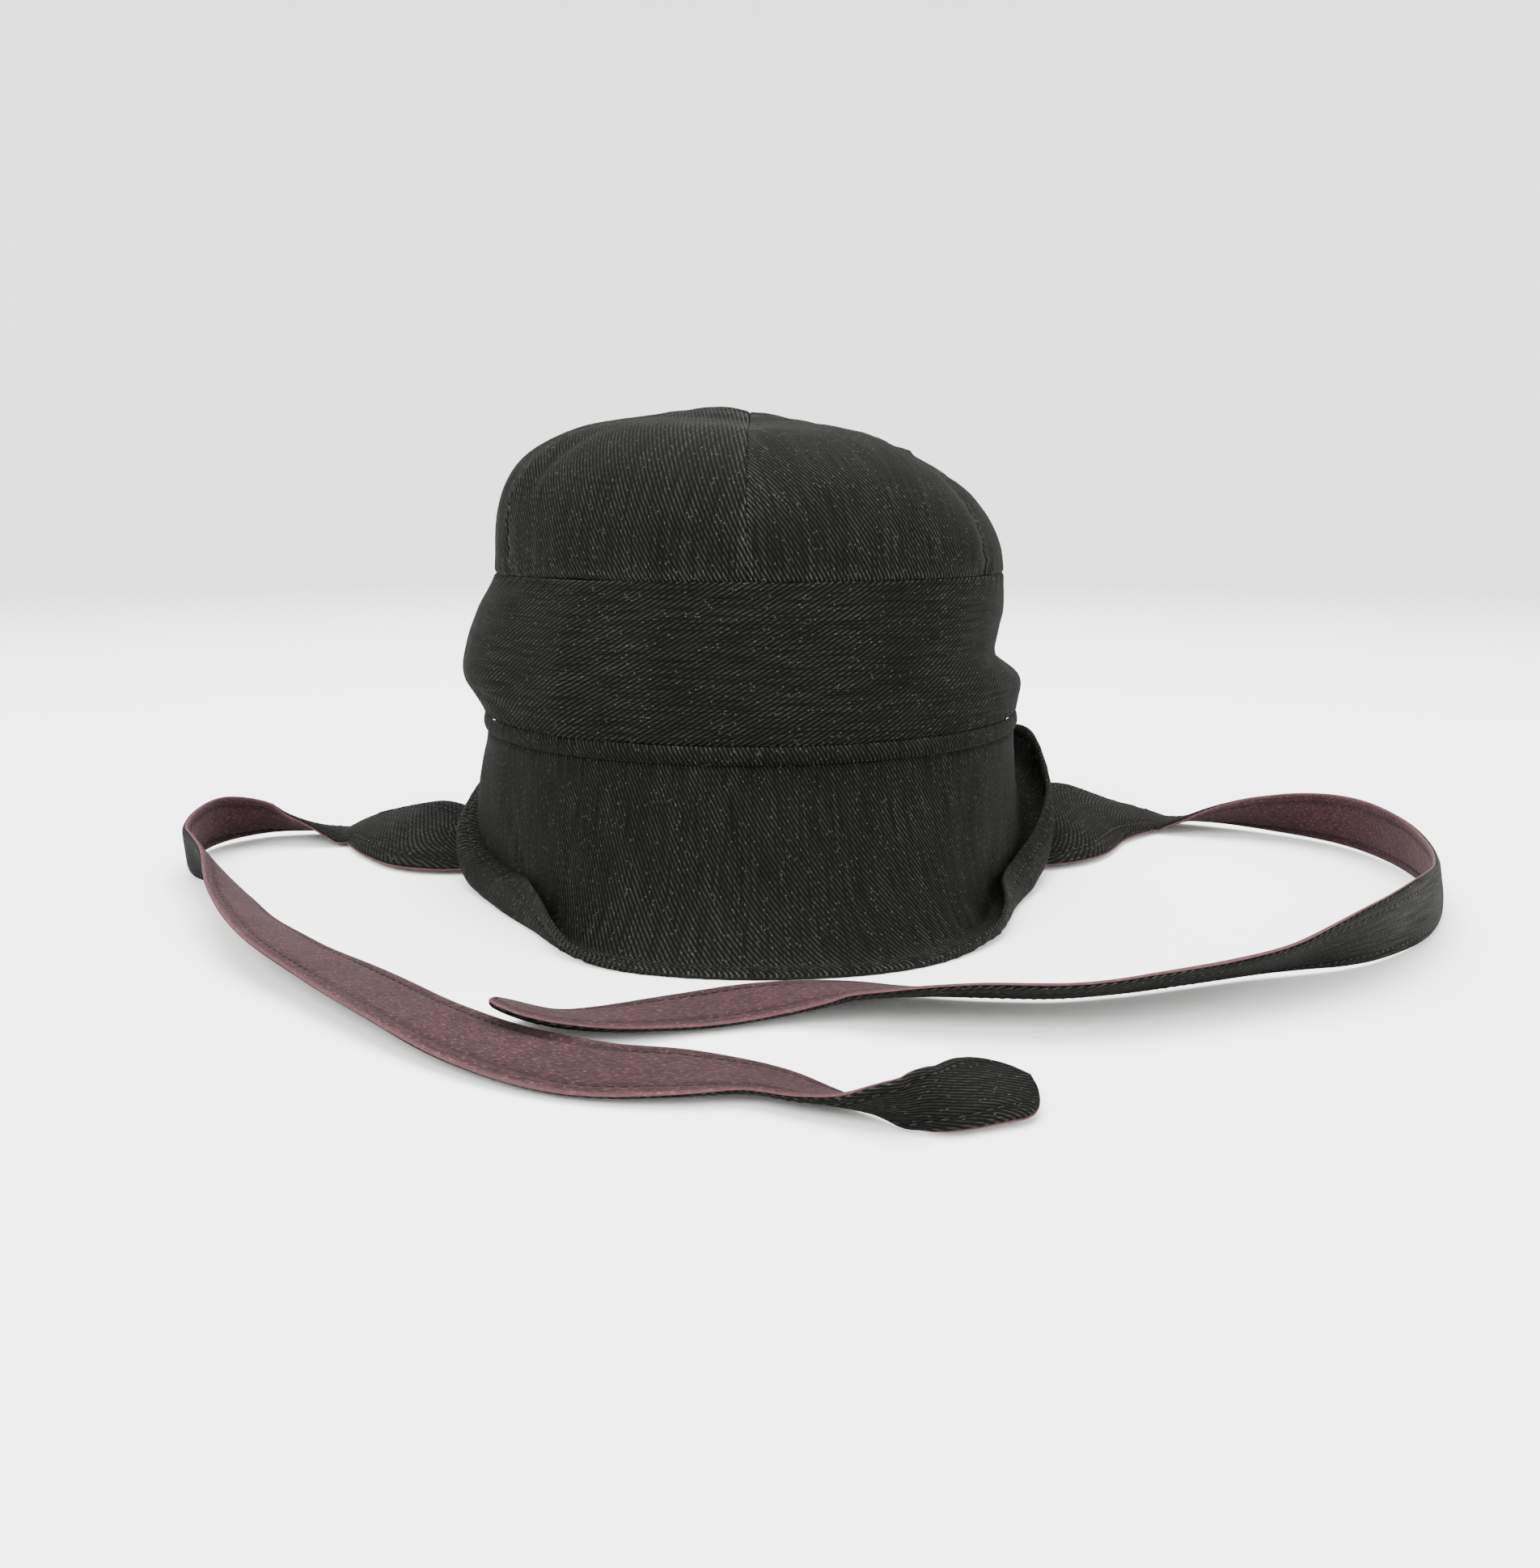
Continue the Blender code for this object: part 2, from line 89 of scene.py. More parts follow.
# Dents and swells, as shares of the head radius. A swell's depth is negative.
Dent = namedtuple("Dent", "azimuth climb depth spread_around spread_up")
CROWN_DENTS = (
    Dent(2, 0.62, 0.030, 0.42, 0.13),
    Dent(-75, 0.90, -0.030, 0.30, 0.20),
    Dent(70, 0.88, 0.016, 0.34, 0.24),
    Dent(-62, 0.22, -0.018, 0.12, 0.40),
    Dent(70, 0.42, 0.017, 0.28, 0.14),
    Dent(170, 0.60, 0.022, 0.40, 0.15),
)
BAND_DENTS = (
    Dent(90, 0.60, 0.040, 0.55, 0.060),
    Dent(-36, 0.45, -0.022, 0.14, 0.40),
    Dent(-12, 0.55, 0.012, 0.30, 0.25),
    Dent(150, 0.55, 0.022, 0.45, 0.09),
)

# The brim's fall at each azimuth. wall and flare are degrees from straight down, at the seam and above the
# heel; heel_rise is the heel's height as a share of the seam height; roll is the share of the cloth that
# turns up; hem is the direction the hem points, 90 outwards and 180 straight up; depth is a share of the
# brim's depth.
BrimSection = namedtuple("BrimSection", "azimuth wall flare heel_rise roll hem depth")
BRIM_SECTIONS = (
    BrimSection(0, 17, 60, 0.00, 0.14, 130, 1.00),
    BrimSection(20, 17, 60, 0.00, 0.14, 130, 1.00),
    BrimSection(38, 10, 40, 0.00, 0.24, 158, 1.00),
    BrimSection(54, 3, 10, 0.00, 0.38, 232, 1.04),
    BrimSection(68, 2, 6, 0.03, 0.45, 262, 1.06),
    BrimSection(79, 3, 10, 0.12, 0.47, 240, 0.98),
    BrimSection(90, 5, 16, 0.36, 0.50, 190, 0.78),
    BrimSection(100, 6, 20, 0.56, 0.48, 178, 0.68),
    BrimSection(112, 6, 20, 0.60, 0.48, 172, 0.62),
    BrimSection(128, 6, 22, 0.48, 0.44, 168, 0.66),
    BrimSection(144, 6, 24, 0.25, 0.38, 160, 0.80),
    BrimSection(160, 7, 28, 0.00, 0.30, 148, 0.88),
    BrimSection(180, 8, 30, 0.00, 0.26, 140, 0.90),
    BrimSection(200, 7, 28, 0.00, 0.30, 148, 0.88),
    BrimSection(216, 6, 24, 0.25, 0.38, 160, 0.80),
    BrimSection(232, 6, 20, 0.44, 0.44, 180, 0.68),
    BrimSection(246, 5, 16, 0.52, 0.50, 205, 0.62),
    BrimSection(258, 14, 2, 0.46, 0.50, 238, 0.70),
    BrimSection(268, 18, -2, 0.36, 0.49, 258, 0.78),
    BrimSection(279, 15, -2, 0.20, 0.47, 268, 0.91),
    BrimSection(290, 6, -2, 0.05, 0.47, 272, 1.06),
    BrimSection(305, 0, 2, 0.00, 0.42, 264, 1.10),
    BrimSection(322, 3, 18, 0.00, 0.31, 206, 1.04),
    BrimSection(340, 14, 52, 0.00, 0.16, 138, 1.00),
)

# The way each tie lies. out is away from the hat's middle, to the tie's own side; ahead is to the front;
# rise is above resting on the surface: all shares of the head radius. bank is in degrees, 0 with the lining
# up, 90 with the tie on edge and its lining facing the loop, 180 with the denim up. width is a share of the
# tie's width.
TieStation = namedtuple("TieStation", "out ahead rise bank width")
LEFT_TIE = (
    TieStation(0.939, 0.020, 0.470, 180, 1.00),
    TieStation(0.944, 0.020, 0.340, 180, 1.04),
    TieStation(0.951, 0.020, 0.215, 180, 1.08),
    TieStation(0.976, 0.020, 0.090, 181, 1.12),
    TieStation(1.040, 0.020, 0.018, 184, 1.18),
    TieStation(1.130, 0.016, 0.000, 191, 1.32),
    TieStation(1.250, -0.020, 0.000, 199, 1.42),
    TieStation(1.410, -0.160, 0.000, 204, 1.28),
    TieStation(1.590, -0.350, 0.000, 197, 0.98),
    TieStation(1.760, -0.370, 0.000, 174, 0.84),
    TieStation(1.900, -0.360, 0.000, 157, 0.80),
    TieStation(2.020, -0.335, 0.000, 141, 0.80),
    TieStation(2.120, -0.250, 0.000, 127, 0.79),
    TieStation(2.175, -0.120, 0.000, 112, 0.76),
    TieStation(2.165, 0.080, 0.000, 98, 0.69),
    TieStation(2.095, 0.270, 0.000, 82, 0.64),
    TieStation(1.970, 0.440, 0.000, 66, 0.70),
    TieStation(1.825, 0.640, 0.000, 52, 0.76),
    TieStation(1.650, 0.945, 0.000, 34, 0.80),
    TieStation(1.410, 1.265, 0.000, 21, 0.92),
    TieStation(1.135, 1.540, 0.000, 13, 0.96),
    TieStation(0.880, 1.800, 0.000, 9, 0.93),
    TieStation(0.630, 2.005, 0.000, 3, 0.96),
    TieStation(0.390, 2.130, 0.000, 0, 1.00),
    TieStation(0.160, 2.175, 0.000, 2, 0.97),
    TieStation(-0.040, 2.225, 0.000, 6, 0.66),
    TieStation(-0.180, 2.325, 0.000, 13, 0.46),
    TieStation(-0.270, 2.390, 0.000, 34, 0.34),
    TieStation(-0.360, 2.440, 0.000, 84, 0.38),
    TieStation(-0.455, 2.425, 0.000, 136, 0.49),
    TieStation(-0.560, 2.350, 0.000, 158, 0.67),
    TieStation(-0.655, 2.290, 0.000, 166, 0.73),
    TieStation(-0.800, 2.208, 0.000, 168, 0.73),
)
RIGHT_TIE = (
    TieStation(0.944, -0.020, 0.470, 180, 1.00),
    TieStation(0.948, -0.020, 0.340, 180, 1.04),
    TieStation(0.954, -0.020, 0.215, 180, 1.08),
    TieStation(0.978, -0.021, 0.090, 181, 1.12),
    TieStation(1.040, -0.028, 0.018, 185, 1.20),
    TieStation(1.125, -0.055, 0.000, 193, 1.30),
    TieStation(1.250, -0.160, 0.000, 204, 1.36),
    TieStation(1.430, -0.430, 0.000, 208, 1.28),
    TieStation(1.680, -0.605, 0.000, 191, 0.96),
    TieStation(1.860, -0.565, 0.000, 171, 0.83),
    TieStation(2.020, -0.495, 0.000, 151, 0.80),
    TieStation(2.150, -0.425, 0.000, 137, 0.79),
    TieStation(2.285, -0.325, 0.000, 126, 0.80),
    TieStation(2.390, -0.180, 0.000, 118, 0.81),
    TieStation(2.450, 0.030, 0.000, 112, 0.80),
    TieStation(2.460, 0.290, 0.000, 106, 0.73),
    TieStation(2.410, 0.565, 0.000, 102, 0.66),
    TieStation(2.300, 0.830, 0.000, 96, 0.68),
    TieStation(2.150, 1.075, 0.000, 86, 0.78),
    TieStation(1.975, 1.270, 0.000, 74, 0.86),
    TieStation(1.815, 1.402, 0.000, 60, 0.93),
    TieStation(1.650, 1.490, 0.000, 46, 0.98),
    TieStation(1.480, 1.560, 0.000, 34, 1.00),
    TieStation(1.280, 1.640, 0.000, 29, 1.00),
    TieStation(1.070, 1.713, 0.000, 27, 1.00),
    TieStation(0.860, 1.755, 0.000, 24, 1.00),
    TieStation(0.620, 1.742, 0.000, 23, 1.00),
    TieStation(0.420, 1.705, 0.000, 17, 1.00),
    TieStation(0.250, 1.660, 0.000, 9, 1.00),
    TieStation(0.060, 1.670, 0.000, 3, 0.96),
    TieStation(-0.150, 1.745, 0.000, 1, 0.85),
    TieStation(-0.360, 1.830, 0.000, 6, 0.76),
    TieStation(-0.500, 1.850, 0.000, 14, 0.68),
    TieStation(-0.620, 1.795, 0.000, 22, 0.66),
    TieStation(-0.800, 1.610, 0.000, 24, 0.66),
)

# Creases in the cloth. slope is in degrees from level; length, width and depth are in millimetres, and a
# ridge's depth is negative. climb runs from the panel's lower seam to its upper one, or down the brim to
# its hem.
Crease = namedtuple("Crease", "azimuth climb slope length width depth")
CROWN_CREASES = (
    Crease(-2, 0.70, 4, 30, 4.5, 1.1),
    Crease(6, 0.86, -3, 32, 4.0, -0.9),
    Crease(44, 0.50, 52, 14, 2.6, 0.9),
    Crease(50, 0.56, 40, 12, 2.4, -0.7),
    Crease(64, 0.42, 20, 12, 2.2, 1.0),
    Crease(66, 0.52, 12, 12, 2.4, 0.9),
    Crease(66, 0.47, 15, 10, 2.0, -0.8),
    Crease(72, 0.34, -12, 14, 2.6, 0.8),
    Crease(-58, 0.30, 78, 18, 3.2, -1.2),
    Crease(-50, 0.34, 70, 18, 3.0, 0.8),
    Crease(-66, 0.46, 34, 16, 3.0, 0.8),
    Crease(-30, 0.82, 12, 24, 4.0, -0.8),
    Crease(130, 0.55, 24, 22, 4.0, 0.9),
    Crease(160, 0.62, -8, 24, 4.5, 1.0),
    Crease(200, 0.45, 16, 20, 4.0, 0.8),
    Crease(236, 0.60, -30, 20, 4.0, 0.9),
    Crease(252, 0.35, 60, 16, 3.6, 0.7),
)
BAND_CREASES = (
    Crease(-60, 0.80, -4, 16, 2.0, 0.6),
    Crease(-62, 0.70, 3, 20, 2.2, 0.8),
    Crease(-58, 0.60, -3, 22, 2.2, 0.9),
    Crease(-60, 0.50, 4, 20, 2.0, 0.8),
    Crease(-56, 0.40, -5, 18, 2.2, 0.9),
    Crease(-60, 0.30, 3, 20, 2.4, 1.0),
    Crease(-62, 0.16, -8, 18, 2.6, 1.3),
    Crease(-36, 0.46, 84, 15, 3.4, -0.9),
    Crease(-31, 0.44, 86, 16, 4.0, 0.6),
    Crease(-88, 0.12, 4, 16, 2.6, 1.8),
    Crease(-4, 0.86, -2, 30, 3.0, 0.5),
    Crease(10, 0.78, 2, 34, 3.0, -0.5),
    Crease(18, 0.64, -4, 30, 3.4, 0.5),
    Crease(4, 0.48, 3, 34, 3.4, 0.5),
    Crease(26, 0.30, -4, 30, 3.2, 0.6),
    Crease(60, 0.58, 6, 24, 3.0, 0.9),
    Crease(66, 0.44, -6, 22, 3.0, 0.8),
    Crease(84, 0.36, 10, 16, 3.2, 1.5),
    Crease(56, 0.20, -4, 24, 3.0, 0.6),
    Crease(140, 0.60, 8, 28, 3.4, 1.0),
    Crease(165, 0.42, -6, 30, 3.4, 0.9),
    Crease(200, 0.62, 5, 28, 3.2, 0.8),
    Crease(232, 0.46, -8, 26, 3.4, 1.1),
    Crease(250, 0.30, 6, 22, 3.0, 0.9),
)
BRIM_CREASES = (
    Crease(-34, 0.42, 78, 16, 4.0, 0.7),
    Crease(-20, 0.50, 84, 22, 5.0, -0.7),
    Crease(-8, 0.46, 90, 24, 5.0, 0.6),
    Crease(6, 0.44, 94, 22, 5.0, -0.5),
    Crease(17, 0.52, 97, 20, 5.0, 0.6),
    Crease(30, 0.40, 104, 18, 4.6, -0.7),
    Crease(44, 0.40, 112, 18, 4.0, 0.9),
    Crease(58, 0.52, 118, 14, 3.4, -0.8),
    Crease(66, 0.62, 96, 12, 3.0, 0.9),
    Crease(-52, 0.48, 64, 16, 3.6, 0.8),
    Crease(-66, 0.62, 72, 12, 3.2, -0.8),
    Crease(-84, 0.70, 84, 10, 3.0, 0.7),
    Crease(96, 0.70, 90, 12, 3.4, 0.8),
    Crease(112, 0.60, 84, 14, 3.6, -0.8),
    Crease(150, 0.50, 90, 16, 4.6, 0.8),
    Crease(178, 0.45, 94, 16, 5.0, -0.7),
    Crease(206, 0.50, 86, 16, 4.6, 0.8),
    Crease(238, 0.60, 96, 12, 3.6, -0.8),
)


class HatSizes(bpy.types.PropertyGroup):
    """Lengths of the hat, in metres."""

    head_radius: bpy.props.FloatProperty(
        name="Head radius", description="Outer radius of the brim's seam, side to side", default=0.097,
        unit="LENGTH",
    )
    head_oval: bpy.props.FloatProperty(
        name="Head oval", description="How much longer the head opening is, front to back", default=1.03,
        subtype="FACTOR",
    )
    brim_seam_height: bpy.props.FloatProperty(
        name="Brim seam height", description="Height of the brim's seam as the hat lies", default=0.055,
        unit="LENGTH",
    )
    welt_height: bpy.props.FloatProperty(
        name="Welt height", description="Height of the strip between brim and band", default=0.0058,
        unit="LENGTH",
    )
    band_height: bpy.props.FloatProperty(
        name="Band height", description="Height of the side band", default=0.0495, unit="LENGTH",
    )
    crown_rise: bpy.props.FloatProperty(
        name="Crown rise", description="Height of the crown over the band", default=0.0550, unit="LENGTH",
    )
    cloth: bpy.props.FloatProperty(
        name="Cloth", description="Thickness of the denim with its seam allowances", default=0.0022,
        unit="LENGTH",
    )
    brim_depth: bpy.props.FloatProperty(
        name="Brim depth", description="Depth of the brim's cloth, seam to hem", default=0.075, unit="LENGTH",
    )
    left_tie_length: bpy.props.FloatProperty(
        name="Left tie", description="Length of the left tie", default=0.588, unit="LENGTH",
    )
    right_tie_length: bpy.props.FloatProperty(
        name="Right tie", description="Length of the right tie", default=0.645, unit="LENGTH",
    )
    tie_width: bpy.props.FloatProperty(
        name="Tie width", description="Width of both ties", default=0.031, unit="LENGTH",
    )
    denim_ply: bpy.props.FloatProperty(
        name="Denim ply", description="Thickness of a tie's denim", default=0.0013, unit="LENGTH",
    )
    lining_ply: bpy.props.FloatProperty(
        name="Lining ply", description="Thickness of a tie's brushed lining", default=0.0012, unit="LENGTH",
    )
    tie_camber: bpy.props.FloatProperty(
        name="Tie camber", description="How far a tie is dished across its width", default=0.0005,
        unit="LENGTH",
    )
    stitch_inset: bpy.props.FloatProperty(
        name="Stitch inset", description="From an edge to its row of stitches", default=0.0048,
        unit="LENGTH",
    )
    stitch_pitch: bpy.props.FloatProperty(
        name="Stitch pitch", description="From one stitch to the next", default=0.0030, unit="LENGTH",
    )
    thread: bpy.props.FloatProperty(
        name="Thread", description="Thickness of the sewing thread", default=0.00055, unit="LENGTH",
    )


def linear(hex_colour):
    """An sRGB hex colour as linear red, green and blue."""
    values = [int(hex_colour[place : place + 2], 16) / 255 for place in (0, 2, 4)]
    return tuple(c / 12.92 if c <= 0.04045 else ((c + 0.055) / 1.055) ** 2.4 for c in values)


def colour_property(name, description, hex_colour):
    return bpy.props.FloatVectorProperty(
        name=name, description=description, default=linear(hex_colour), subtype="COLOR", size=3, min=0, max=1,
    )


class HatColours(bpy.types.PropertyGroup):
    """Colours of the hat and the floor."""

    denim_shade: colour_property("Denim shade", "The dyed threads between the twill lines", "060606")
    denim_line: colour_property("Denim line", "The washed threads on top of the twill lines", "393a34")
    denim_fleck: colour_property("Denim fleck", "Undyed cotton flecks", "7b7c74")
    lining_deep: colour_property("Lining deep", "The ground of the brushed lining", "1c1013")
    lining_pile: colour_property("Lining pile", "The pile of the brushed lining", "3e2529")
    lining_tip: colour_property("Lining tip", "Pale ends of the pile", "65484b")
    thread: colour_property("Thread", "The sewing thread", "131112")
    floor: colour_property("Floor", "The pale floor", "f8f8f7")


def ease(before, start, end, after, share):
    """A smooth curve through start and end, shaped by the values on either side."""
    rise, lean = end - start, (end - before) / 2
    leave = (after - start) / 2
    square, cube = share * share, share**3
    return (
        start + lean * share + (3 * rise - 2 * lean - leave) * square + (lean + leave - 2 * rise) * cube
    )


def around(table, azimuth, column):
    """A column of a table of sections, read smoothly at any azimuth."""
    azimuth %= 360
    after = next((i for i, row in enumerate(table) if row.azimuth > azimuth), 0)
    rows = [table[(after + step) % len(table)] for step in (-2, -1, 0, 1)]
    span = (rows[2].azimuth - rows[1].azimuth) % 360
    share = ((azimuth - rows[1].azimuth) % 360) / span
    return ease(*(getattr(row, column) for row in rows), share)


def along(values, place):
    """A list of values read smoothly at a place counted in rows."""
    first = min(int(place), len(values) - 2)
    picked = [values[min(max(first + step, 0), len(values) - 1)] for step in (-1, 0, 1, 2)]
    return ease(*picked, place - first)


def ring_point(sizes, azimuth, radius, height):
    """A point at an azimuth, on the head's oval."""
    turn = math.radians(azimuth)
    return Vector((radius * math.sin(turn), -radius * sizes.head_oval * math.cos(turn), height))


def turned_by(azimuth, centre):
    """The angle from centre to azimuth, in radians, the short way round."""
    return math.radians((azimuth - centre + 180) % 360 - 180)


def dented(sizes, point, azimuth, climb, length, dents, centre):
    """The point moved in or out by each dent that reaches it."""
    outwards = (point - centre).normalized()
    moved = point.copy()
    reach = math.hypot(point.x, point.y)
    for dent in dents:
        sideways = turned_by(azimuth, dent.azimuth) * reach / (dent.spread_around * sizes.head_radius)
        upwards = (climb - dent.climb) * length / (dent.spread_up * sizes.head_radius)
        moved -= outwards * dent.depth * sizes.head_radius * math.exp(-sideways**2 - upwards**2)
    return moved


def crease_depth(azimuth, climb, length, radius, creases):
    """How far the creases and the cloth's own unevenness press the surface in, in metres."""
    depth = 0.0
    for crease in creases:
        sideways = turned_by(azimuth, crease.azimuth) * radius / MM
        upwards = (climb - crease.climb) * length / MM
        reach = 2.6 * crease.length
        if abs(sideways) > reach or abs(upwards) > reach:
            continue
        slope = math.radians(crease.slope)
        lengthways = (sideways * math.cos(slope) + upwards * math.sin(slope)) / crease.length
        across = (upwards * math.cos(slope) - sideways * math.sin(slope)) / crease.width
        depth += crease.depth * math.exp(-(lengthways**2) - across**2)
    turn = math.radians(azimuth)
    spot = Vector((math.sin(turn) * radius, math.cos(turn) * radius, climb * length))
    depth += 0.55 * noise.noise(spot / 0.026) + 0.16 * noise.noise(spot / 0.0085)
    return depth * MM


def crowded(share, crowding=0.13):
    """A share from 0 to 1, with more of the rows near both ends."""
    return share - crowding * math.sin(2 * math.pi * share)


def tucked(distance, depth=0.0007, reach=0.0015):
    """How far a panel's edge is turned in at a distance from its seam."""
    return depth * max(1 - distance / reach, 0) ** 2


def puckered(distance, place, depth=0.00028, pitch=0.0062, reach=0.0045):
    """Small gathers that the thread pulls along a seam."""
    wave = math.sin(2 * math.pi * place / pitch + 3 * noise.noise(Vector((place / 0.02, 0.3, 0.7))))
    return depth * wave * math.exp(-((distance / reach) ** 2))


def band_point(sizes, azimuth, climb):
    """The band's outer face, from its bottom seam (climb 0) to its top seam (climb 1)."""
    height = sizes.band_height
    columns = [around(BAND_SECTIONS, azimuth, name) for name in reversed(BandSection._fields[1:])]
    radius = sizes.head_radius * along(columns, min(max(climb, 0), 1) * (len(columns) - 1))
    level = sizes.brim_seam_height + sizes.welt_height + SEAM_GAP / 2 + climb * (height - SEAM_GAP)
    point = ring_point(sizes, azimuth, radius, level)
    point = dented(sizes, point, azimuth, 1 - climb, height, BAND_DENTS, Vector((0, 0, level)))
    edge = min(climb, 1 - climb) * height
    settle = min(edge / 0.006, 1)
    inwards = crease_depth(azimuth, climb, height, radius, BAND_CREASES) * settle + tucked(edge)
    inwards += puckered(edge, math.radians(azimuth) * radius)
    return point - point.xy.to_3d().normalized() * inwards


def welt_point(sizes, azimuth, climb):
    """The narrow welt between the band and the brim, pressed flat."""
    radius = sizes.head_radius * around(BAND_SECTIONS, azimuth, "bottom")
    height = sizes.welt_height
    edge = min(climb, 1 - climb) * height
    puff = 0.0007 * math.sin(math.pi * min(max(climb, 0), 1))
    radius += puff - tucked(edge, 0.0005, 0.0010) - puckered(edge, math.radians(azimuth) * radius, 0.00016)
    level = sizes.brim_seam_height + SEAM_GAP / 2 + climb * (height - SEAM_GAP)
    return ring_point(sizes, azimuth, radius, level)


def crown_curve(sizes, azimuth):
    """The crown's plain outline at an azimuth, from its base to its top."""
    base = sizes.head_radius * around(BAND_SECTIONS, azimuth, "top")
    power = 2 / around(CROWN_SECTIONS, azimuth, "shoulder")
    points = []
    for step in range(UNDERSIDE_STEPS + 1):
        turn = math.pi / 2 * step / UNDERSIDE_STEPS
        radius = base * max(math.cos(turn), 0) ** power
        points.append(Vector((radius, sizes.crown_rise * math.sin(turn) ** power)))
    return points


def lengths_along(points):
    """The length of a line of points up to each of them."""
    total, lengths = 0.0, [0.0]
    for start, end in zip(points, points[1:]):
        total += (end - start).length
        lengths.append(total)
    return lengths


def at_length(points, lengths, run):
    """The point a length along a line of points, and the line's direction there."""
    low, high = 0, len(points) - 1
    while high - low > 1:
        middle = (low + high) // 2
        if lengths[middle] <= run:
            low = middle
        else:
            high = middle
    span = lengths[high] - lengths[low]
    share = min(max((run - lengths[low]) / span, 0), 1) if span else 0
    return points[low].lerp(points[high], share), (points[high] - points[low]).normalized()


def crown_point(sizes, azimuth, climb, points, lengths):
    """The crown's outer face, drawn in along each gore seam."""
    flat, _ = at_length(points, lengths, climb * lengths[-1])
    base = sizes.brim_seam_height + sizes.welt_height + sizes.band_height
    level = base + SEAM_GAP / 2 + flat.y
    point = ring_point(sizes, azimuth, flat.x, level)
    centre = Vector((0, 0, min(level, base + sizes.crown_rise / 4)))
    length = sizes.head_radius + sizes.crown_rise / 2
    point = dented(sizes, point, azimuth, climb, length, CROWN_DENTS, centre)
    pitch = 360 / GORES
    from_seam = abs((azimuth + pitch / 2) % pitch - pitch / 2)
    across = math.radians(from_seam) * flat.x
    lift = climb * lengths[-1]
    settle = min(lift / 0.008, 1) * min(flat.x / 0.020, 1)
    inwards = crease_depth(azimuth, climb, lengths[-1], max(flat.x, 0.03), CROWN_CREASES) * settle
    inwards += 0.0010 * math.exp(-((across / 0.005) ** 2)) + tucked(across, 0.0005, 0.0010)
    inwards += puckered(across, lift, 0.00035) + tucked(lift) + puckered(lift, math.radians(azimuth) * flat.x)
    return point - (point - centre).normalized() * inwards


def brim_curve(sizes, azimuth):
    """The underside of the brim at an azimuth, as (outwards, down) from the seam, seam to hem.

    The cloth falls from the seam, turns level at its heel and rolls up to the hem. Where the roll
    starts is found so that the heel comes down just as far as the section asks.
    """
    depth = sizes.brim_depth * around(BRIM_SECTIONS, azimuth, "depth")
    wall = around(BRIM_SECTIONS, azimuth, "wall")
    flare = around(BRIM_SECTIONS, azimuth, "flare")
    roll = depth * around(BRIM_SECTIONS, azimuth, "roll")
    hem = around(BRIM_SECTIONS, azimuth, "hem")
    raised = 1 - max(around(BRIM_SECTIONS, azimuth, "heel_rise"), 0)
    drop = sizes.brim_seam_height * raised + HEEL_SETTLE
    step = depth / UNDERSIDE_STEPS

    def fall(start):
        place, points = Vector((0, 0)), [Vector((0, 0))]
        for count in range(UNDERSIDE_STEPS):
            run = (count + 0.5) * step
            lean = wall * min(run / SEAM_TURN, 1) + (flare - wall) * min(run / start, 1) ** 2
            share = min(max((run - start) / roll, 0), 1)
            turn = math.radians(lean + (hem - lean) * share * share * (3 - 2 * share))
            place = place + Vector((math.sin(turn), math.cos(turn))) * step
            points.append(place)
        return points

    low, high = 0.05 * depth, depth
    for _ in range(24):
        start = (low + high) / 2
        if max(point.y for point in fall(start)) > drop:
            high = start
        else:
            low = start
    return fall(low)


def brim_point(sizes, azimuth, share, depth_in, points, lengths):
    """A point of the brim's cloth. share runs from its seam to its hem, and depth_in from its underside (0)
    to its top face (1)."""
    run = share * lengths[-1]
    flat, heading = at_length(points, lengths, run)
    up_side = Vector((heading.y, -heading.x))
    from_hem = lengths[-1] - run
    thickness = sizes.cloth
    thickness -= 0.0009 * math.exp(-(((from_hem - sizes.stitch_inset) / 0.0009) ** 2))
    thickness -= 0.0010 * math.exp(-((from_hem / 0.0009) ** 2))
    thickness += 0.0003 * math.exp(-(((from_hem - 0.0022) / 0.0018) ** 2))
    free = min(run / 0.010, 1) * min(from_hem / 0.004 + 0.35, 1)
    ripple = crease_depth(azimuth, share, lengths[-1], sizes.head_radius, BRIM_CREASES) * free
    ripple += puckered(from_hem - sizes.stitch_inset, math.radians(azimuth) * 0.12, 0.00022)
    lift = sizes.cloth / 2 + (depth_in - 0.5) * thickness - ripple
    lift -= tucked(run, 0.0010) if depth_in > 0.5 else 0
    outwards = sizes.head_radius - sizes.cloth + flat.x + up_side.x * lift
    lying = max(sizes.brim_seam_height - SEAM_GAP / 2 - flat.y, 0)
    return ring_point(sizes, azimuth, outwards, max(lying - up_side.y * lift, 0))


def tie_line(sizes, stations, side):
    """The tie's centreline as rows of centre, bank and width, close together."""
    per_row = 12
    line = []
    for count in range((len(stations) - 1) * per_row + 1):
        place = count / per_row
        out, ahead, rise, bank, width = (
            along([getattr(row, name) for row in stations], place) for name in TieStation._fields
        )
        width *= sizes.tie_width
        turn = math.radians(bank)
        below = SEAM_GAP / 2 + max(sizes.denim_ply, sizes.lining_ply) + sizes.tie_camber
        height = rise * sizes.head_radius + width / 2 * abs(math.sin(turn)) + below * abs(math.cos(turn))
        reach = sizes.head_radius
        line.append((Vector((side * out * reach, -ahead * reach, height + FLOOR_CLEARANCE)), bank, width))
    return line


